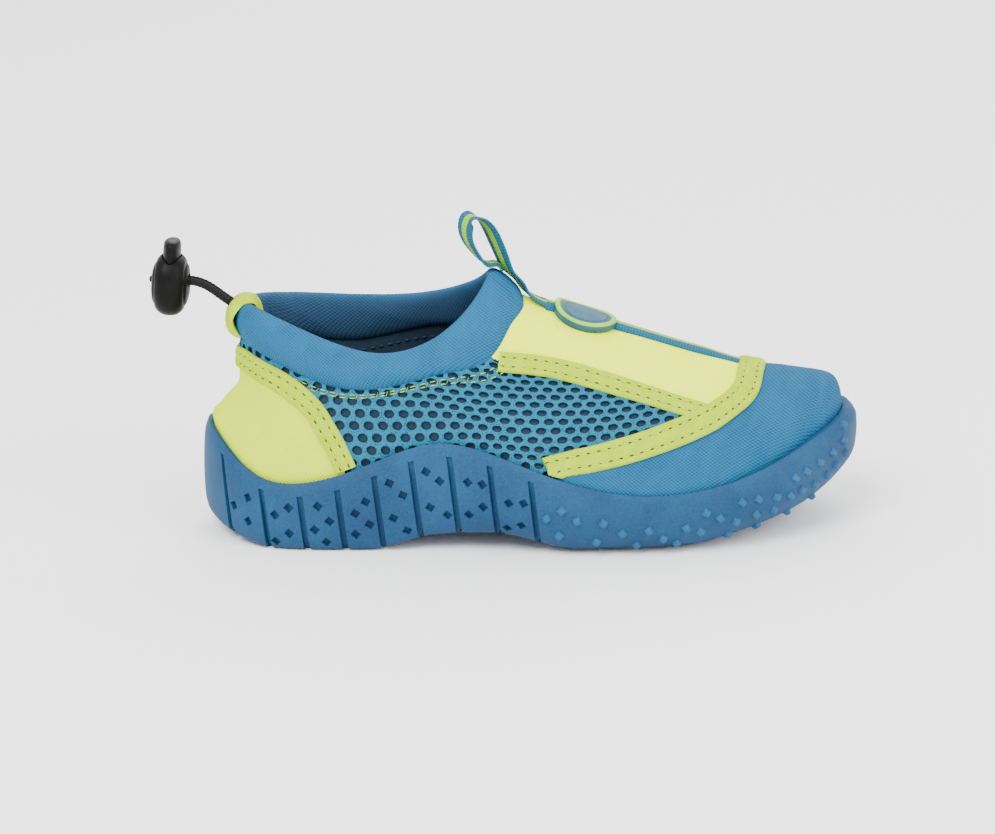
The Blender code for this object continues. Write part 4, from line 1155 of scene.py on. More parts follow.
def build_mesh(name, side, material):
    """One side's mesh: six-sided cells of knitted yarn, each round a real hole."""
    side_map = flat_map(side)
    s, l, table_u, table_v = side_map
    row_step = HOLE_PITCH * math.sqrt(3) / 2
    rows = np.arange(math.floor(table_v.min() / row_step), math.ceil(table_v.max() / row_step) + 1)
    columns = np.arange(math.floor(table_u.min() / HOLE_PITCH), math.ceil(table_u.max() / HOLE_PITCH) + 1)
    c, r = np.meshgrid(columns, rows)
    cu, cv = (c + (r % 2) / 2).ravel() * HOLE_PITCH, r.ravel() * row_step
    coarse_u, coarse_v = table_u[::5, ::5].ravel(), table_v[::5, ::5].ravel()
    near = ((cu[:, None] - coarse_u) ** 2 + (cv[:, None] - coarse_v) ** 2).argmin(axis=1)
    width = table_u[::5, ::5].shape[1]
    gi, gj = (near // width * 5).astype(float), (near % width * 5).astype(float)
    cs, cl = places_on(side_map, cu, cv, gi, gj)
    at = (cs - s[0]) / (s[1] - s[0]), (cl - l[0]) / (l[1] - l[0])
    found = np.hypot(sample(table_u, *at) - cu, sample(table_v, *at) - cv) < 0.3 * MM
    keep = found & inside_outline(cs, cl, MESH_AREA)
    cu, cv, cs, cl = cu[keep], cv[keep], cs[keep], cl[keep]
    angle = np.linspace(0, 2 * math.pi, HOLE_SIDES, endpoint=False)
    apothem = HOLE_PITCH / 2
    edge = apothem / np.cos(np.mod(angle + math.pi / 6, math.pi / 3) - math.pi / 6)
    hole = np.full(HOLE_SIDES, HOLE_RADIUS) * (1 + 0.05 * np.cos(2 * angle))
    rings = [
        # distance from the hole's middle, lift
        (edge, 0.04 * MM),
        (edge * 0.5 + hole * 0.5, 0.16 * MM),
        (hole * 1.03, 0.06 * MM),
        (hole, -0.12 * MM),
        (hole * 0.97, -HOLE_DEPTH),
    ]
    count = len(cu)
    points, maps_u, maps_v, deep = [], [], [], []
    gi, gj = (cs - s[0]) / (s[1] - s[0]), (cl - l[0]) / (l[1] - l[0])
    for k, (reach, lift) in enumerate(rings):
        u = cu[:, None] + np.cos(angle) * reach
        v = cv[:, None] + np.sin(angle) * reach
        flat_s, flat_l = places_on(
            side_map, u.ravel(), v.ravel(), np.repeat(gi, HOLE_SIDES), np.repeat(gj, HOLE_SIDES)
        )
        lift = lift + 0.06 * MM * soft_noise(np.stack([u, v, v], axis=2), 2 * MM)
        points.append(last(side * flat_s, flat_l, lift.ravel()).reshape(count, HOLE_SIDES, 3))
        maps_u.append(u)
        maps_v.append(v)
        # deep: how far down its hole each ring lies, which the material turns into painted shade
        deep.append(np.full((count, HOLE_SIDES), (0.0, 0.0, 0.15, 0.6, 1.0)[k]))
    points = np.stack(points, axis=1)
    one = quads(len(rings), HOLE_SIDES, wrap_columns=True, flip=side > 0)
    faces = (one[None] + (np.arange(count) * len(rings) * HOLE_SIDES)[:, None, None]).reshape(-1, 4)
    maps = (np.stack(maps_u, axis=1), np.stack(maps_v, axis=1))
    return new_mesh(name, points, faces, material, maps, values={"deep": np.stack(deep, axis=1)})


panels = build_panels()
navy = lining_material()
lining = build_lining(navy)
blue_mesh = mesh_material()
mesh_outer = build_mesh("mesh_outer", 1, blue_mesh)
mesh_inner = build_mesh("mesh_inner", -1, blue_mesh)

# Stitches

STITCH_LENGTH = 2.1 * MM
STITCH_STEP = 3.0 * MM
STITCH_SINK = 0.35
# The station at which the collar's seams stop beside the throat
SEAM_END = 6.3
THREAD_RADIUS = 0.27 * MM
NEEDLE_HOLE = 0.42 * MM


def stitch_shapes(points, normals, length, step, radius, phase=0.0, skew=0.0):
    """Small threads laid end to end along a line, each diving into the cloth at its ends."""
    run = run_length(points)
    count = max(1, int((run[-1] - phase) / step))
    centres = phase + step * (np.arange(count) + 0.5)
    t = np.linspace(-1, 1, 7)
    at = centres[:, None] + t * length / 2
    line = np.stack([np.interp(at, run, points[:, k]) for k in range(3)], axis=2)
    normal = np.stack([np.interp(at, run, normals[:, k]) for k in range(3)], axis=2)
    normal = unit(normal)
    across = np.cross(normal, unit(np.gradient(line, axis=1)))
    line = line + normal * (radius * (1 - STITCH_SINK) - radius * 2.2 * t**4)[None, :, None]
    line = line + across * (skew * t * length)[None, :, None]
    size = radius * np.sqrt(np.clip(1.08 - t**4, 0.02, 1))
    angle = np.linspace(0, 2 * math.pi, 6, endpoint=False)
    ring = across[:, :, None] * np.cos(angle)[:, None] + normal[:, :, None] * np.sin(angle)[:, None] * 0.85
    shapes = line[:, :, None] + ring * size[None, :, None, None]
    faces = quads(7, 6, wrap_columns=True)
    faces = (faces[None] + (np.arange(count) * 42)[:, None, None]).reshape(-1, 4)
    return shapes.reshape(-1, 3), faces


def stitching(name, rows, material, **how):
    """A piece made of rows of stitches; each row is a line of points with normals."""
    all_points, all_faces, start = [], [], 0
    for points, normals in rows:
        shape, faces = stitch_shapes(points, normals, **how)
        all_points.append(shape)
        all_faces.append(faces + start)
        start += len(shape)
    return new_mesh(name, np.concatenate(all_points), np.concatenate(all_faces), material)


def needle_holes(name, rows, material, step):
    """Small dents where the needle went in, between the stitches, coloured dark as painted shade in the
    holes.
    """
    points_out, faces_out, start = [], [], 0
    angle = np.linspace(0, 2 * math.pi, 8, endpoint=False)
    for points, normals in rows:
        run = run_length(points)
        at = step * np.arange(max(1, int(run[-1] / step)) + 1)
        line = np.stack([np.interp(at, run, points[:, k]) for k in range(3)], axis=1)
        normal = np.stack([np.interp(at, run, normals[:, k]) for k in range(3)], axis=1)
        ahead = np.stack([np.interp(at + MM, run, points[:, k]) for k in range(3)], axis=1) - line
        ahead /= np.maximum(np.linalg.norm(ahead, axis=1, keepdims=True), 1e-9)
        across = np.cross(normal, ahead)
        rings = []
        for out, up in ((1.0, -0.05), (0.8, 0.045), (0.3, 0.06), (0.02, 0.06)):
            ring = line[:, None] + normal[:, None] * up * MM
            turn = ahead[:, None] * np.cos(angle)[:, None] * 1.5
            turn = turn + across[:, None] * np.sin(angle)[:, None] * 0.8
            ring = ring + turn * NEEDLE_HOLE * out
            rings.append(ring)
        shape = np.stack(rings, axis=1)
        faces = quads(4, 8, wrap_columns=True)
        faces = (faces[None] + (np.arange(len(at)) * 32)[:, None, None]).reshape(-1, 4)
        points_out.append(shape.reshape(-1, 3))
        faces_out.append(faces + start)
        start += len(points_out[-1])
    return new_mesh(name, np.concatenate(points_out), np.concatenate(faces_out), material)


neon_thread = thread("neon_thread", (0.50, 0.74, 0.000), (0.22, 0.34, 0.000))
blue_thread = thread("blue_thread", (0.008, 0.048, 0.095), (0.003, 0.020, 0.042))
# The needle holes' dark colour is painted shade inside them.
needle_hole_shade = thread("painted_needle_shade", (0.040, 0.070, 0.000), (0.016, 0.028, 0.000))

# Strips


def face_height(share, rows_at, thickness=BAND_THICKNESS):
    """Height of a strip's face across it: rounded edges and a groove along each row of stitches."""
    height = thickness * (1 - 0.75 * np.abs(2 * share) ** 9)
    for row in rows_at:
        height = height - 0.20 * MM * np.exp(-(((share - row) / 0.06) ** 2))
    return height


STRIP_SHARES = np.concatenate([[-0.5], np.linspace(-0.495, 0.495, 25), [0.5]])


def build_strip(name, path, width, count, material, rows_at, base=0.25 * MM):
    """A folded strip over the edges of two panels, with its stitch rows."""
    lines = strip_lines(path, width, count, STRIP_SHARES)
    face, under = [], []
    for share, line in zip(STRIP_SHARES, lines):
        ripple = 0.06 * MM * soft_noise(last(line[:, 0], line[:, 1]), 2.4 * MM)
        face.append(last(line[:, 0], line[:, 1], base + face_height(share, rows_at) + ripple))
        under.append(last(line[:, 0], line[:, 1], 0.02 * MM))
    face, under = np.array(face), np.array(under)
    sections = np.concatenate([under, face[::-1]]).transpose(1, 0, 2)
    along, _ = surface_maps(sections)
    shares = np.concatenate([STRIP_SHARES, STRIP_SHARES[::-1]]) * width
    maps = np.broadcast_arrays(caps(along[..., None])[..., 0], shares[None] + np.zeros((len(along) + 2, 1)))
    strip = sweep(name, sections, material, maps)
    seam_rows = []
    for row in rows_at:
        line = strip_lines(path, width, count, [row])[0]
        points = last(line[:, 0], line[:, 1], base + face_height(row, rows_at) + 0.02 * MM)
        seam_rows.append((points, last_axes(line[:, 0], line[:, 1])[2]))
    trimmed_rows = [(p[3:-3], n[3:-3]) for p, n in seam_rows]
    sewn = stitching(
        f"{name}_stitches", trimmed_rows, neon_thread,
        length=STITCH_LENGTH, step=STITCH_STEP, radius=THREAD_RADIUS,
    )
    dents = needle_holes(f"{name}_needle_holes", trimmed_rows, needle_hole_shade, STITCH_STEP)
    return strip, sewn, dents


# Where a strip's two seams run, as shares of its width from its middle
STRIP_SEAMS = (-0.22, 0.22)
neon_cloth = binding_cloth("neon_binding", NEON, NEON_DARK)
toe_path = both_sides(TOE_BAND_PATH, TOE_MIDDLE)
heel_path = both_sides(HEEL_BAND_PATH, HEEL_MIDDLE)
toe_band, *toe_sewn = build_strip(
    "toe_band_binding", toe_path, TOE_BAND_WIDTH, 300, neon_cloth, (-0.24, 0.24), 0.4 * MM
)
heel_band, *heel_sewn = build_strip(
    "heel_band_binding", heel_path, HEEL_BAND_WIDTH + 0.6 * MM, 260, neon_cloth, STRIP_SEAMS
)
stay_path = EYESTAY_PATH + [(7.36, 2.95)]
stay_outer, *outer_sewn = build_strip(
    "eyestay_outer_binding", stay_path, EYESTAY_WIDTH, 110, neon_cloth, STRIP_SEAMS
)
stay_inner, *inner_sewn = build_strip(
    "eyestay_inner_binding", inner_side(stay_path), EYESTAY_WIDTH, 110, neon_cloth, STRIP_SEAMS
)

# Collar


def collar_frame(stations):
    """Centre of the padded collar at these stations, with its directions up the wall and out of it."""
    low, high = last(stations, SEAM, -UPPER_WALL / 2), last(stations, TOP, -UPPER_WALL / 2)
    up = high - low
    height = np.linalg.norm(up, axis=1, keepdims=True)
    up /= height
    centre = (low + high + up * GAP) / 2
    out = last(stations, 6.5, MM) - last(stations, 6.5)
    out = unit(out - up * np.sum(out * up, axis=1, keepdims=True))
    return centre, up, out, height[:, 0] - GAP


def collar_thickness(centre):
    """The roll's thickness, which is thinner at the throat."""
    front = np.clip(((centre[:, 0] - COLLAR_SETBACK) / COLLAR_LENGTH - 0.75) / 0.25, 0, 1)
    return COLLAR_THICKNESS + (COLLAR_FRONT_THICKNESS - COLLAR_THICKNESS) * front


def heel_pinch(stations):
    """How far the heel tab draws the roll in, as a share of its size."""
    signed = np.where(stations > STATIONS / 2, stations - STATIONS, stations)
    return 1 - 0.13 * np.exp(-((signed / 0.85) ** 4))


COLLAR_CREASES = [
    # station, angle round the roll in degrees, slant, length in degrees, width in stations, depth
    (0.95, 20, 0.30, 70, 0.10, 0.50),
    (1.25, -10, 0.45, 60, 0.09, 0.35),
    (-0.95, 20, -0.30, 70, 0.10, 0.50),
    (-1.3, 200, -0.40, 60, 0.14, 0.45),
    (1.4, 190, 0.40, 60, 0.14, 0.40),
    (8.1, 30, 0.25, 80, 0.16, 0.35),
    (-8.1, 30, -0.25, 80, 0.16, 0.35),
    (7.3, 190, 0.50, 70, 0.22, 0.45),
    (-7.4, 190, -0.50, 70, 0.22, 0.45),
    (4.4, 160, 0.20, 50, 0.50, 0.35),
    (-4.9, 170, 0.25, 50, 0.50, 0.40),
]


def build_collar(material):
    """The padded roll round the opening, with soft puckers where it bends."""
    rows, columns = 460, 56
    stations = even_stations(0, STATIONS, rows + 1, 6.5)[:-1]
    centre, up, out, height = collar_frame(stations)
    thickness = collar_thickness(centre) * heel_pinch(stations)
    height = height * (0.5 + 0.5 * heel_pinch(stations))
    angle = np.linspace(-0.5 * math.pi, 1.5 * math.pi, columns, endpoint=False)[None]
    depth, rise = np.cos(angle), np.sin(angle)
    bulge = np.sign(depth) * np.abs(depth) ** 0.85
    points = (
        centre[:, None]
        + up[:, None] * (height[:, None] / 2 * rise)[..., None]
        + out[:, None] * (thickness[:, None] / 2 * bulge)[..., None]
    )
    signed = np.where(stations > STATIONS / 2, stations - STATIONS, stations)[:, None]
    dent = np.zeros(points.shape[:2])
    turn = np.degrees(angle)
    for station, at, slant, reach, wide, deep in COLLAR_CREASES:
        off_angle = np.mod(turn - at + 180, 360) - 180
        off = signed - station - slant * off_angle / 90
        dent += deep * MM * np.exp(-((off / wide) ** 2)) * np.exp(-((off_angle / reach) ** 2))
    ripple = 0.16 * MM * soft_noise(points, 7 * MM) + 0.08 * MM * soft_noise(points, 3 * MM, 4.0)
    face = out[:, None] * depth[..., None] + up[:, None] * rise[..., None] * 0.4
    points = points + face * (ripple - dent)[..., None]
    inward = np.broadcast_to(ease(0.35 - depth * 0.8), points.shape[:2])
    closed = np.concatenate([points, points[:1]])
    u, v = surface_maps(np.concatenate([closed, closed[:, :1]], axis=1))
    faces = quads(rows, columns, wrap_rows=True, wrap_columns=True)
    spread = quads(rows + 1, columns + 1)
    return new_mesh(
        "collar_roll", points, faces, material, (u, v), sharp=180, values={"inward": inward}, map_faces=spread
    )


def collar_material():
    """The collar's knit, which is a darker blue on its inner face."""
    material = knit("blue_collar", TEAL, TEAL_DARK, blotch=0.16)
    s = Shading.on(material)
    outer = s.shader.inputs["Base Color"].links[0].from_socket
    tint = s.mix(s.value("inward"), (1.0, 1.0, 1.0), (1.6, 0.50, 0.48))
    return s.done(s.mix(1.0, outer, tint, "MULTIPLY"))


collar_cloth = collar_material()
collar = build_collar(collar_cloth)


def line_on_last(stations, levels, lift):
    points = last(stations, levels, lift)
    return points, last_axes(stations, levels)[2]


def seam_rows_behind_throat(stations, level, lift):
    """The runs of a line round the last at one level that stay behind the throat, with their normals."""
    points, normals = line_on_last(stations, np.full(len(stations), level), lift)
    away = folded(stations) < SEAM_END
    parts = np.split(np.arange(len(stations)), np.nonzero(np.diff(away.astype(int)))[0] + 1)
    return [(points[part], normals[part]) for part in parts if away[part[0]]]


def build_collar_seams():
    """Two rows of yellow stitches on the mesh under the collar, their zigzag, and a blue row inside."""
    stations = even_stations(1.0, STATIONS - 1.0, 900, 5.6)
    rows = [row for level in (5.83, 5.64) for row in seam_rows_behind_throat(stations, level, 0.30 * MM)]
    sewn = stitching("collar_stitches", rows, neon_thread, length=1.6 * MM, step=2.9 * MM, radius=0.12 * MM)
    cross = stitching(
        "collar_zigzag", seam_rows_behind_throat(stations, 5.735, 0.22 * MM), neon_thread,
        length=0.8 * MM, step=2.9 * MM, radius=0.11 * MM, phase=1.2 * MM, skew=0.9,
    )
    stations = even_stations(0, STATIONS, 700, 5.6)
    points, normals = line_on_last(stations, np.full(700, 5.55), -UPPER_WALL - 0.05 * MM)
    inside = stitching(
        "lining_stitches", [(points, -normals)], blue_thread, length=1.8 * MM, step=2.6 * MM, radius=0.28 * MM
    )
    return sewn, cross, inside


collar_sewn = build_collar_seams()

# Woven tape and pull loop


def tape_material():
    s = Shading("striped_webbing", 0.8, 0.1)
    _, u, v = s.surface()
    chevron = s.maths("ADD", u, s.maths("MULTIPLY", s.maths("PINGPONG", v, 0.8), 0.8))
    ribs = s.wave(chevron, 0.62)
    picks = s.wave(u, 0.9)
    weave = s.maths("MULTIPLY_ADD", s.maths("ADD", ribs, s.maths("MULTIPLY", picks, 0.5)), 0.33, 0.5)
    edge = s.maths("MULTIPLY_ADD", picks, 0.10, s.maths("ABSOLUTE", v))
    stripe = s.ramp(edge, 1.35, 1.65, 1.0, 0.0)
    blue = s.mix(weave, (0.003, 0.045, 0.085), (0.014, 0.150, 0.240))
    lime = s.mix(weave, (0.150, 0.300, 0.000), (0.360, 0.640, 0.010))
    return s.done(s.mix(stripe, blue, lime), s.bump(weave, 0.16 * MM, 0.9))


def throat_frame():
    centre, up, out, height = collar_frame(np.array([float(TOE)]))
    return centre[0], up[0], out[0], height[0] / 2, COLLAR_FRONT_THICKNESS / 2


LOOP_DRAWN = LOOP_LENGTH - 1.6 * MM
LOOP_LEAN = 0.46


def loop_path():
    """Middle line of the pull loop: up the collar's front, back over it as a drop, and down again."""
    centre, up, out, tall, thick = throat_frame()
    clear = thick + GAP + TAPE_THICKNESS / 2
    lean = unit(up + out * LOOP_LEAN)
    side = np.array([lean[2], 0.0, -lean[0]])
    foot = centre + up * 0.25 * tall + out * (clear + 0.5 * MM)
    drop = [
        # share of the loop's length, share of its opening from the upper band to the lower
        (0.25, 0.03),
        (0.50, 0.02),
        (0.75, 0.06),
        (0.93, 0.27),
        (0.99, 0.55),
        (0.90, 0.84),
        (0.70, 1.00),
        (0.45, 0.92),
        (0.22, 0.62),
    ]
    points = [
        centre - up * 0.95 * tall + out * (thick * 0.75 + GAP + TAPE_THICKNESS / 2),
        centre - up * 0.45 * tall + out * (clear + 0.5 * GAP),
        foot,
    ]
    points += [foot + lean * along * LOOP_DRAWN - side * down * LOOP_OPENING * 0.92 for along, down in drop]
    points.append(centre + up * 0.85 * tall + out * (clear - 0.3 * MM))
    points.append(centre + up * 0.52 * tall + out * (clear - 0.5 * MM))
    return points


TAPE_SHARES = np.linspace(-0.5, 0.5, 15)
LOOP_TWIST = math.radians(30)


def build_tape(material):
    """The webbing down the middle of the vamp, whose upper end is folded back into the pull loop."""
    count = 70
    lines = strip_lines(TAPE_PATH, TAPE_WIDTH, count, TAPE_SHARES)
    low = 0.15 * MM
    thick = TAPE_THICKNESS * (1 - 0.6 * np.abs(2 * TAPE_SHARES) ** 10)
    under = np.array([last(l[:, 0], l[:, 1], low) for l in lines])
    tuck = 0.9 * MM * (1 - ease(np.linspace(0, 4, count)))
    face = np.array([last(l[:, 0], l[:, 1], GAP + FACET_ROOM + t - tuck) for l, t in zip(lines, thick)])
    vamp = np.concatenate([under, face[::-1]]).transpose(1, 0, 2)
    middle = vamp[-1].mean(axis=0)
    path = spline_through([middle] + loop_path(), 190)[1:]
    ahead = unit(np.gradient(path, axis=0))
    twist = (LOOP_TWIST * np.sin(np.linspace(0, math.pi, len(path))) ** 0.7)[:, None]
    across = np.concatenate([np.sin(twist), -np.cos(twist), np.zeros_like(twist)], axis=1)
    across = unit(across - ahead * np.sum(ahead * across, axis=1, keepdims=True))
    out = np.cross(ahead, across)
    narrow = 1 - 0.45 * ease((np.linspace(0, 1, len(path)) - 0.86) / 0.14)
    row = TAPE_SHARES[None, :, None] * (across * narrow[:, None])[:, None] * TAPE_WIDTH
    half = (thick / 2)[None, :, None]
    below = path[:, None] + row - out[:, None] * half
    above = path[:, None] + row + out[:, None] * half
    loop = np.concatenate([below, above[:, ::-1]], axis=1)
    sections = np.concatenate([vamp, loop])
    along = run_length(sections.mean(axis=1))
    shares = np.concatenate([TAPE_SHARES, TAPE_SHARES[::-1]]) * TAPE_WIDTH
    along = np.concatenate([along[:1], along, along[-1:]])
    maps = np.broadcast_arrays(along[:, None], shares[None])
    return sweep("centre_webbing", sections, material, maps)


centre_tape = build_tape(tape_material())

# Badge


def badge_material(name, light, dark):
    s = Shading(name, 0.55, 0.2)
    place = s.place()
    fine = s.noise(1500.0, place, 3.0)
    wide = s.noise(180.0, place, 3.0)
    return s.done(s.mix(s.ramp(wide, 0.3, 0.75), dark, light), s.bump(fine, 0.03 * MM, 0.5))


def badge_rings(steps, count=72):
    """Rings round the badge at shares of its size and heights above the last."""
    angles = np.linspace(0, 2 * math.pi, count, endpoint=False)
    _, by_level, normal = (v[0] for v in last_axes(*(np.array([c], float) for c in BADGE_CENTRE)))
    along = unit(by_level)
    across = np.cross(normal, along)
    reach = along * np.cos(angles)[:, None] * BADGE_LENGTH + across * np.sin(angles)[:, None] * BADGE_WIDTH
    rings = []
    centre = [np.full(count, c) for c in BADGE_CENTRE]
    for share, lift in steps:
        s, l = beside(*centre, reach, np.linalg.norm(reach, axis=1) * share / 2)
        rings.append(last(s, l, lift))
    return np.array(rings)


def round_ring(share, wide, lift, tall, count=9):
    """Steps over a half-round ring."""
    turn = np.linspace(math.pi, 0, count)
    return [(share + wide * math.cos(t), lift + tall * math.sin(t)) for t in turn]


def build_badge():
    """The oval moulded badge: a dark base, a plain field with a fine inner line, and a raised rim."""
    face = GAP + FACET_ROOM + TAPE_THICKNESS + GAP + BADGE_THICKNESS
    rim = BADGE_RIM / BADGE_WIDTH * 2
    steps = [(0.02, 0.3 * MM), (0.9, 0.3 * MM), (0.985, 0.35 * MM), (1.0, 0.6 * MM), (0.995, face * 0.6)]
    steps += [(0.99, face - 0.1 * MM), (0.97, face), (0.9, face)]
    steps += [(1 - rim - 0.02, face), *round_ring(0.66, 0.025, face, 0.16 * MM, 5)[::-1]]
    steps += [(0.6, face), (0.4, face), (0.2, face), (0.02, face)]
    rings = badge_rings(steps)
    faces = quads(len(rings), rings.shape[1], wrap_columns=True)
    field = badge_material("badge_field", (0.022, 0.095, 0.140), (0.014, 0.070, 0.110))
    base = new_mesh("badge_base", rings, faces, field)
    steps = round_ring(1 - rim * 0.55, rim * 0.5, face - 0.12 * MM, BADGE_RIM_HEIGHT + 0.12 * MM, 13)
    rings = badge_rings(steps)
    faces = quads(len(rings), rings.shape[1], wrap_columns=True)
    lime = badge_material("badge_lime", (0.300, 0.560, 0.002), (0.220, 0.460, 0.002))
    ring = new_mesh("badge_rim", rings, faces, lime)
    return base, ring


badge, badge_ring = build_badge()

# Heel tab


def build_tab(material):
    """The tab folded over the collar at the heel, standing off it behind, with two rows of stitches."""
    stations = np.linspace(-0.72, 0.72, 37)
    centre, up, out, height = collar_frame(stations)
    thick = COLLAR_THICKNESS / 2 * 0.88
    half = height[:, None] / 2 * 0.94
    angles = np.radians(np.linspace(-48, 186, 104))
    rise, depth = np.sin(angles), np.cos(angles)
    rise = np.sign(rise) * np.abs(rise) ** 0.9
    depth = np.sign(depth) * np.abs(depth) ** 0.66
    stand = np.clip(np.cos(angles - math.radians(10)), 0, 1) ** 2
    fold = np.stack([rise, depth, stand], axis=1)
    turn = unit(np.gradient(fold[:, :2] * (half[18, 0], thick), axis=0))
    share = np.linspace(-1, 1, 37)
    edge = TAB_THICKNESS * (1 - 0.7 * np.abs(share) ** 12)
    sections = []
    for (rise, depth, stand), (step_up, step_out) in zip(fold, turn):
        away = out * step_up - up * step_out
        sag = 0.7 * MM * np.cos(share * 5 + rise * 3.4 + 0.8) * np.clip(stand + 0.35, 0, 1)
        off = (depth * thick + stand * TAB_STANDOFF + sag)[:, None]
        line = centre + up * rise * half + out * off + away * GAP
        sections.append(np.concatenate([line, (line + away * edge[:, None])[::-1]]))
    sections = np.array(sections)
    along = run_length(sections.mean(axis=1))
    along = np.concatenate([along[:1], along, along[-1:]])
    shares = np.concatenate([share, share[::-1]]) * 6 * MM
    maps = np.broadcast_arrays(along[:, None], shares[None])
    tab = sweep("heel_tab_cloth", sections, material, maps)
    rows = []
    for row in (4, 9):
        face = sections[row, 37:][::-1][3:-3]
        rows.append((face, np.broadcast_to(out[18], face.shape)))
    sewn = stitching("heel_tab_stitches", rows, neon_thread, length=1.7 * MM, step=2.3 * MM, radius=0.24 * MM)
    return tab, sewn


heel_tab, tab_sewn = build_tab(neon_cloth)

# Insole


def insole_material():
    s = Shading("navy_footbed", 0.9)
    place = s.place()
    a = s.noise(900.0, place, 3.0, 0.6)
    color = s.mix(s.ramp(a, 0.3, 0.75), (0.003, 0.018, 0.036), (0.008, 0.038, 0.068))
    return s.done(color, s.bump(a, 0.15 * MM, 0.8))


def build_insole(material):
    """The footbed: flat under the foot, rolled up a little at its edge and heel."""
    rows, columns = 260, 26
    s = even_stations(0, STATIONS, rows + 1, 0.5)[:-1]
    edge = last(s, np.zeros(rows), -(UPPER_WALL + GAP + FACET_ROOM))
    spine_x = edge[:, 0]
    middle_y = np.interp(spine_x, [20 * MM, 60 * MM, 120 * MM, 175 * MM], [0, -1.5 * MM, -0.5 * MM, 3 * MM])
    spine = np.stack([np.clip(spine_x, 14 * MM, 165 * MM), middle_y, edge[:, 2]], axis=1)
    t = np.linspace(0, 1, columns)[None, :, None]
    top = spine[:, None] * t + edge[:, None] * (1 - t)
    rise = INSOLE_THICKNESS - 0.2 * MM - 0.9 * MM * ease(t[..., 0] * 1.6)
    rise = rise + 0.1 * MM * soft_noise(top, 12 * MM)
    seat = seat_height(top[..., 0].ravel()).reshape(top.shape[:2])
    top[..., 2] = seat + FACET_ROOM + rise
    under = top[:, :1].copy()
    under[..., 2] = seat_height(edge[:, 0])[:, None] + FACET_ROOM
    points = np.concatenate([under, top], axis=1)
    return new_mesh("footbed", points, quads(rows, columns + 1, wrap_rows=True), material)


insole = build_insole(insole_material())

# Sole

SOLE_AROUND = 440
SIDE_ROWS = 24

# Diamond recesses and studs on the near side, by the pixel of the photograph at their middle
DIAMONDS = [
    # x, y
    (249, 497), (233, 505), (249, 520), (233, 529),
    (290, 508), (276, 516), (290, 532), (277, 541),
    (329, 521), (315, 530), (328, 541), (317, 508),
    (366, 504), (354, 512), (371, 526), (357, 535),
    (389, 486), (404, 497), (394, 520), (407, 531),
    (427, 474), (441, 482), (430, 506), (446, 514),
    (466, 483), (483, 483), (483, 507), (468, 516),
    (507, 504), (524, 502), (508, 527), (523, 525),
]
STUDS = [
    # x, y
    (547, 518), (562, 510), (578, 523), (604, 523), (623, 535), (649, 532), (664, 539), (687, 527),
    (700, 532), (707, 513), (721, 519), (737, 522), (743, 502), (759, 499), (776, 498), (790, 495),
    (803, 490), (814, 485), (826, 475), (835, 465), (794, 478), (808, 471), (820, 463), (833, 452),
    (596, 541), (636, 543), (676, 541), (727, 533), (755, 515), (772, 510), (846, 452), (843, 440),
    (757, 527), (788, 512), (812, 497), (560, 535), (842, 425),
]
DIAMOND_ACROSS = 3.1 * MM
DIAMOND_TALL = 3.5 * MM
DIAMOND_DEPTH = 1.4 * MM
STUD_SIZE = 2.5 * MM
STUD_HEIGHT = 1.15 * MM
CHANNEL_DEPTH = 1.3 * MM
GROOVE_CUT = 1.7 * MM
GROOVE_STOP = 3.4 * MM


def sole_ring(stations, row):
    """A ring of the sole's outer face."""
    lip = last(stations, LIP)
    share = lip[:, 0] / LAST_LENGTH
    to_toe = np.clip((share - 0.72) / 0.28, 0, 1)
    to_ball = np.clip((share - 0.30) / 0.32, 0, 1)
    _, heel_out, heel_up, ball_out, ball_up, toe_out, toe_up = row
    out = heel_out + (ball_out - heel_out) * to_ball + (toe_out - ball_out) * to_toe
    up = heel_up + (ball_up - heel_up) * to_ball + (toe_up - ball_up) * to_toe
    points = lip + outward(lip) * (out * SOLE_FLARE)[:, None]
    base = tread_height(points[:, 0])
    points[:, 2] = base + up * (lip[:, 2] - base)
    return points


def ladder(count, start, upward):
    """A flat end over a ring: rungs from each point of the outer side to its mirror on the inner side."""
    faces = []
    for i in range(1, count // 2 - 1):
        face = [start + v for v in (i, i + 1, count - i - 1, count - i)]
        faces.append(face if upward else face[::-1])
    first = [start, start + 1, start + count - 1, start]
    final = [start + count // 2 - 1, start + count // 2, start + count // 2 + 1, start + count // 2 - 1]
    return faces, [first[:3], final[:3]] if upward else [first[2::-1], final[2::-1]]


def sole_face():
    """Rings of the sole's outside from the tread to the crown, with its outward directions."""
    stations = stations_round(SOLE_AROUND)
    rows = np.array([sole_ring(stations, row) for row in SOLE_SECTION])
    for _ in range(3):
        low, high = rows[:-1] * 0.8 + rows[1:] * 0.2, rows[:-1] * 0.2 + rows[1:] * 0.8
        between = np.stack([low, high], axis=1).reshape(-1, *rows.shape[1:])
        rows = np.concatenate([rows[:1], between[1:-1], rows[-1:]])
    steps = np.linalg.norm(np.diff(rows, axis=0), axis=2).mean(axis=1)
    knots = np.concatenate([[0], np.cumsum(steps)])
    at = np.linspace(0, knots[-1], SIDE_ROWS)
    index = np.interp(at, knots, np.arange(len(knots)))
    before = np.minimum(index.astype(int), len(knots) - 2)
    share = (index - before)[:, None, None]
    face = rows[before] * (1 - share) + rows[before + 1] * share
    around = np.roll(face, -1, axis=1) - np.roll(face, 1, axis=1)
    up = np.gradient(face, axis=0)
    return stations, face, unit(np.cross(around, up))


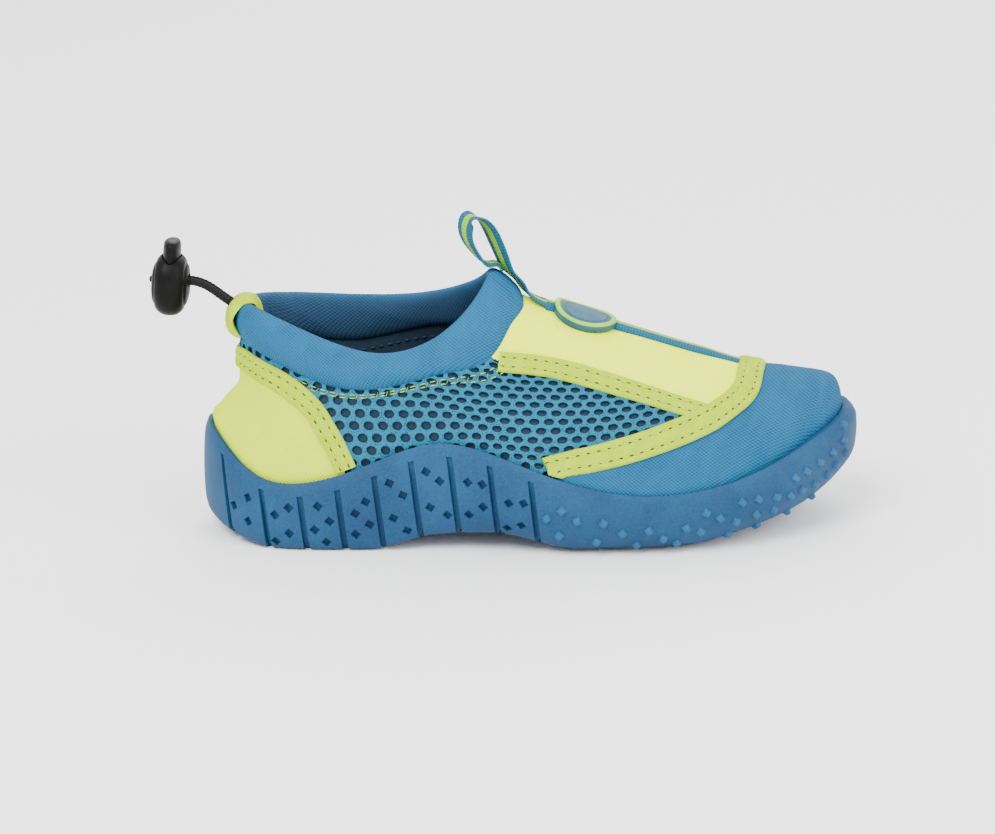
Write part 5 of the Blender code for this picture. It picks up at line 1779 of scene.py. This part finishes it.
def join_meshes(name, shapes):
    """One object from many small closed shapes of points and faces."""
    points, faces, start = [], [], 0
    for shape_points, shape_faces in shapes:
        points.extend(tuple(p + LAST_AT) for p in shape_points)
        faces.extend(tuple(v + start for v in face) for face in shape_faces)
        start += len(shape_points)
    mesh = bpy.data.meshes.new(name)
    mesh.from_pydata(points, [], faces)
    net = bmesh.new()
    net.from_mesh(mesh)
    bmesh.ops.recalc_face_normals(net, faces=net.faces)
    net.to_mesh(mesh)
    net.free()
    obj = bpy.data.objects.new(name, mesh)
    collection.objects.link(obj)
    return obj


BOX_FACES = [(0, 3, 2, 1), (4, 5, 6, 7), (0, 1, 5, 4), (1, 2, 6, 5), (2, 3, 7, 6), (3, 0, 4, 7)]


def block(at, side, up, out, wide, tall, low, high, taper):
    """A four-sided block on a surface: low and high are how far its ends lie from the surface along out."""
    corners = []
    for depth, scale in ((low, 1.0), (high, taper)):
        for a, b in ((-1, -1), (1, -1), (1, 1), (-1, 1)):
            corners.append(at + side * a * wide / 2 * scale + up * b * tall / 2 * scale + out * depth)
    return np.array(corners), BOX_FACES


def turned(side, up, angle):
    c, s = math.cos(angle), math.sin(angle)
    return side * c + up * s, up * c - side * s


def groove_line(face, normal, side, foot_x):
    """Places, directions along the sole and outward directions up one groove, from the tread to its top."""
    lip = face[-1]
    near = np.nonzero((np.sign(lip[:, 1] - 1.5 * MM) == side) & (np.abs(lip[:, 0] - foot_x) < 12 * MM))[0]
    near = near[lip[near, 0].argsort()]
    peak = face[:, near, 2].max(axis=0)
    top = np.interp(foot_x - 3 * MM, lip[near, 0], peak) - GROOVE_STOP
    sections = []
    for r in range(0, SIDE_ROWS, 2):
        line = np.concatenate([face[r, near], normal[r, near]], axis=1)
        line = line[line[:, 0].argsort()]
        x = foot_x - math.tan(GROOVE_LEAN) * np.interp(foot_x, line[:, 0], line[:, 2])
        place = np.array([np.interp([x - 0.5 * MM, x, x + 0.5 * MM], line[:, 0], v) for v in line.T])
        along, out = place[:3, 2] - place[:3, 0], place[3:, 1] * (1, 1, 0)
        section = np.array([place[:3, 1], unit(along), unit(out)])
        if section[0, 2] > top:
            share = (top - sections[-1][0, 2]) / (section[0, 2] - sections[-1][0, 2])
            sections.append(sections[-1] * (1 - share) + section * share)
            break
        sections.append(section)
    sections[0][0, 2] -= 2 * MM
    if len(sections) > 2 and sections[-1][0, 2] - sections[-2][0, 2] < 0.6 * MM:
        del sections[-2]
    return sections, top


def bar_faces(count):
    """Faces of a bar of this many four-cornered sections, closed at both ends."""
    sides = [
        (k * 4 + c, k * 4 + (c + 1) % 4, k * 4 + 4 + (c + 1) % 4, k * 4 + 4 + c)
        for k in range(count - 1)
        for c in range(4)
    ]
    return [*sides, (0, 1, 2, 3), tuple(count * 4 - v for v in (1, 2, 3, 4))]


def groove_bars(face, normal):
    """The upright grooves in both sides of the sole, as bars that follow its face and run out under it."""
    shapes = []
    for side in (-1, 1):
        for i in range(GROOVE_COUNT):
            sections, top = groove_line(face, normal, side, GROOVE_START + i * GROOVE_PITCH)
            corners = []
            for at, along, out in sections:
                half = GROOVE_WIDTH / 2
                deep = -GROOVE_CUT * (0.4 + 0.6 * min(max((top - at[2]) / (5 * MM), 0.0), 1.0))
                for a, b in ((-1, deep), (1, deep), (1.15, 3 * MM), (-1.15, 3 * MM)):
                    corners.append(at + along * a * half + out * b)
            shapes.append((np.array(corners), bar_faces(len(sections))))
    return join_meshes("groove_bars", shapes)


def channel_bars():
    """Shallow channels across the tread."""
    shapes = []
    for i in range(16):
        x = GROOVE_START + i * GROOVE_PITCH
        if x > LAST_LENGTH - 14 * MM:
            break
        search = np.linspace(0.3, TOE - 0.2, 200)
        outer = last(search, LIP)
        inner = last(STATIONS - search, LIP)
        low = outer[np.abs(outer[:, 0] - x).argmin(), 1]
        high = inner[np.abs(inner[:, 0] - x).argmin(), 1]
        room = 1.0 * MM if i < GROOVE_COUNT else 11 * MM
        low, high = low + room, high - room
        base = float(tread_height(np.array([x]))[0])
        steps = np.linspace(low, high, 9)
        bend = 2.4 * MM * np.sin(np.linspace(0, 2 * math.pi, 9))
        points = []
        for y, b in zip(steps, bend):
            for dx, z in ((-1, -3 * MM), (1, -3 * MM), (1, base + CHANNEL_DEPTH), (-1, base + CHANNEL_DEPTH)):
                points.append((x + b + dx * GROOVE_WIDTH * 0.5, y, z))
        *sides, first, final = bar_faces(len(steps))
        shapes.append((np.array(points), [face[::-1] for face in sides] + [first, final]))
    return join_meshes("channel_bars", shapes)


def side_places(face, normal, marks):
    """The rows and columns of the sole's face under these pixels on the near side."""
    x, y, _ = pixels(face)
    seen = (normal[..., 1] < 0.1) & (np.arange(face.shape[0])[:, None] > 1)
    places = []
    for mark_x, mark_y in marks:
        off = np.where(seen, (x - mark_x) ** 2 + (y - mark_y) ** 2, 1e9)
        places.append(np.unravel_index(off.argmin(), off.shape))
    return places


def far_places(face, normal, places):
    """The mirrors of those places on the far side, at the same length and height."""
    far = []
    for r, c in places:
        off = (face[..., 0] - face[r, c, 0]) ** 2 + (face[..., 2] - face[r, c, 2]) ** 2
        off = np.where(normal[..., 1] > 0.0, off, 1e9)
        far.append(np.unravel_index(off.argmin(), off.shape))
    return far


def marks_on(face, normal, places, wide, tall, low, high, taper, angles):
    """A block at each of these places on the sole's face, turned by its own angle."""
    shapes = []
    for (r, c), angle in zip(places, angles):
        out = normal[r, c]
        side = unit(face[r, (c + 1) % face.shape[1]] - face[r, c - 1])
        up = np.cross(out, side)
        a, b = turned(side, up, angle)
        shapes.append(block(face[r, c], a, b, out, wide, tall, low, high, taper))
    return shapes


def build_sole(material, stud_material):
    """The cup sole: grooved and dotted blocks along the heel and arch, studs round the forefoot."""
    stations, face, normal = sole_face()
    inner = [last(stations, level, GAP) for level in (0.97, 0.9, 0.7, 0.55, 0.35, 0.2)]
    floor = last(stations, 0.0, GAP)
    floor[:, 2] -= GAP
    rings = np.concatenate([face, np.array(inner), floor[None]])
    rows = len(rings)
    faces = [tuple(f) for f in quads(rows, SOLE_AROUND, wrap_columns=True, flip=True)]
    for start, upward in ((0, False), ((rows - 1) * SOLE_AROUND, True)):
        four, three = ladder(SOLE_AROUND, start, upward)
        faces += [tuple(f) for f in four + three]
    sole = join_meshes("cup_sole", [(rings.reshape(-1, 3), faces)])
    sole.data.materials.append(material)
    diamonds = side_places(face, normal, DIAMONDS)
    diamonds += far_places(face, normal, diamonds)
    angles = [math.radians(45)] * len(diamonds)
    shapes = marks_on(
        face, normal, diamonds, DIAMOND_ACROSS * 0.76, DIAMOND_TALL * 0.70,
        1.5 * MM, -DIAMOND_DEPTH, 0.8, angles,
    )
    shapes = [(points, [corners[::-1] for corners in faces]) for points, faces in shapes]
    cut(sole, groove_bars(face, normal))
    cut(sole, join_meshes("diamond_recesses", shapes))
    cut(sole, channel_bars())
    sole.data.shade_smooth()
    sole.data.set_sharp_from_angle(angle=math.radians(32))
    studs = side_places(face, normal, STUDS)
    studs += far_places(face, normal, studs)
    angles = [math.radians(45 + 18 * math.sin(k * 2.4)) for k in range(len(studs))]
    shapes = marks_on(face, normal, studs, STUD_SIZE, STUD_SIZE, -0.3 * MM, STUD_HEIGHT, 0.55, angles)
    stud_piece = join_meshes("sole_studs", shapes)
    stud_piece.data.materials.append(stud_material)
    bevel = stud_piece.modifiers.new("soft_edges", "BEVEL")
    bevel.width = 0.2 * MM
    bevel.segments = 2
    bevel.limit_method = "NONE"
    stud_piece.data.shade_smooth()
    return sole, stud_piece


rubber = moulded_rubber("blue_rubber", SOLE_LIGHT, SOLE_DARK)
# The studs' rubber is lighter than the sole's: a painted highlight for the light on their tops.
stud_highlight_rubber = moulded_rubber("stud_highlight_rubber", tuple(v * 1.35 for v in SOLE_LIGHT), SOLE_LIGHT)
sole, studs = build_sole(rubber, stud_highlight_rubber)

# Floor and light


def build_stage():
    size = 6.0
    mesh = bpy.data.meshes.new("floor")
    corners = [(-size, -size, 0), (size, -size, 0), (size, size, 0), (-size, size, 0)]
    mesh.from_pydata(corners, [], [(0, 1, 2, 3)])
    floor = bpy.data.objects.new("floor", mesh)
    mesh.materials.append(Shading("pale_floor", 0.7).done((0.93, 0.93, 0.93)))
    collection.objects.link(floor)
    floor.location.z = -0.1 * MM
    world = bpy.data.worlds.new("studio")
    bpy.context.scene.world = world
    world.use_nodes = True
    world.node_tree.nodes["Background"].inputs[0].default_value = (1.0, 1.0, 1.0, 1.0)
    world.node_tree.nodes["Background"].inputs[1].default_value = 1.7
    for name, place, energy, wide in (
        ("key", (-0.7, -1.1, 1.5), 52.0, 1.0),
        ("fill", (1.2, -0.9, 0.9), 24.0, 1.1),
        ("back", (0.2, 1.3, 1.2), 20.0, 1.2),
    ):
        data = bpy.data.lights.new(name, "AREA")
        data.energy = energy
        data.size = wide
        light = bpy.data.objects.new(name, data)
        light.location = place
        light.rotation_euler = (-Vector(place)).to_track_quat("-Z", "Y").to_euler()
        bpy.context.scene.collection.objects.link(light)
    return floor


build_stage()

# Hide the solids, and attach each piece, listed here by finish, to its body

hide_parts("drawcord")
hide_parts("lock_body")
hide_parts("lock_button")
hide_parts("upper")
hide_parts("collar")
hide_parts("toe_band")
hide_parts("heel_band")
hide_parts("eyestay_outer")
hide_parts("eyestay_inner")
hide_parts("centre_tape")
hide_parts("badge")
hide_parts("heel_tab")
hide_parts("insole")
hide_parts("outsole")

finishes = {
    "blue_neoprene": [
        panels["toe_cap"], panels["vamp"], panels["heel_panel"], lining, mesh_outer, mesh_inner, collar,
    ],
    "sole_rubber": [sole, studs],
    "insole_foam": [insole],
    "yellow_trim": [toe_band, heel_band, stay_outer, stay_inner, heel_tab],
    "woven_tape": [centre_tape],
    "badge_rubber": [badge, badge_ring],
    "black_elastic": [drawcord],
    "black_plastic": [lock_body, lock_button],
}
sewn = [*toe_sewn, *heel_sewn, *outer_sewn, *inner_sewn, *collar_sewn, tab_sewn]
finishes["yellow_trim"] += sewn
for slot, pieces in finishes.items():
    for piece in pieces:
        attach(piece, BUTTON if piece is lock_button else SHOE)

route = cord_line()
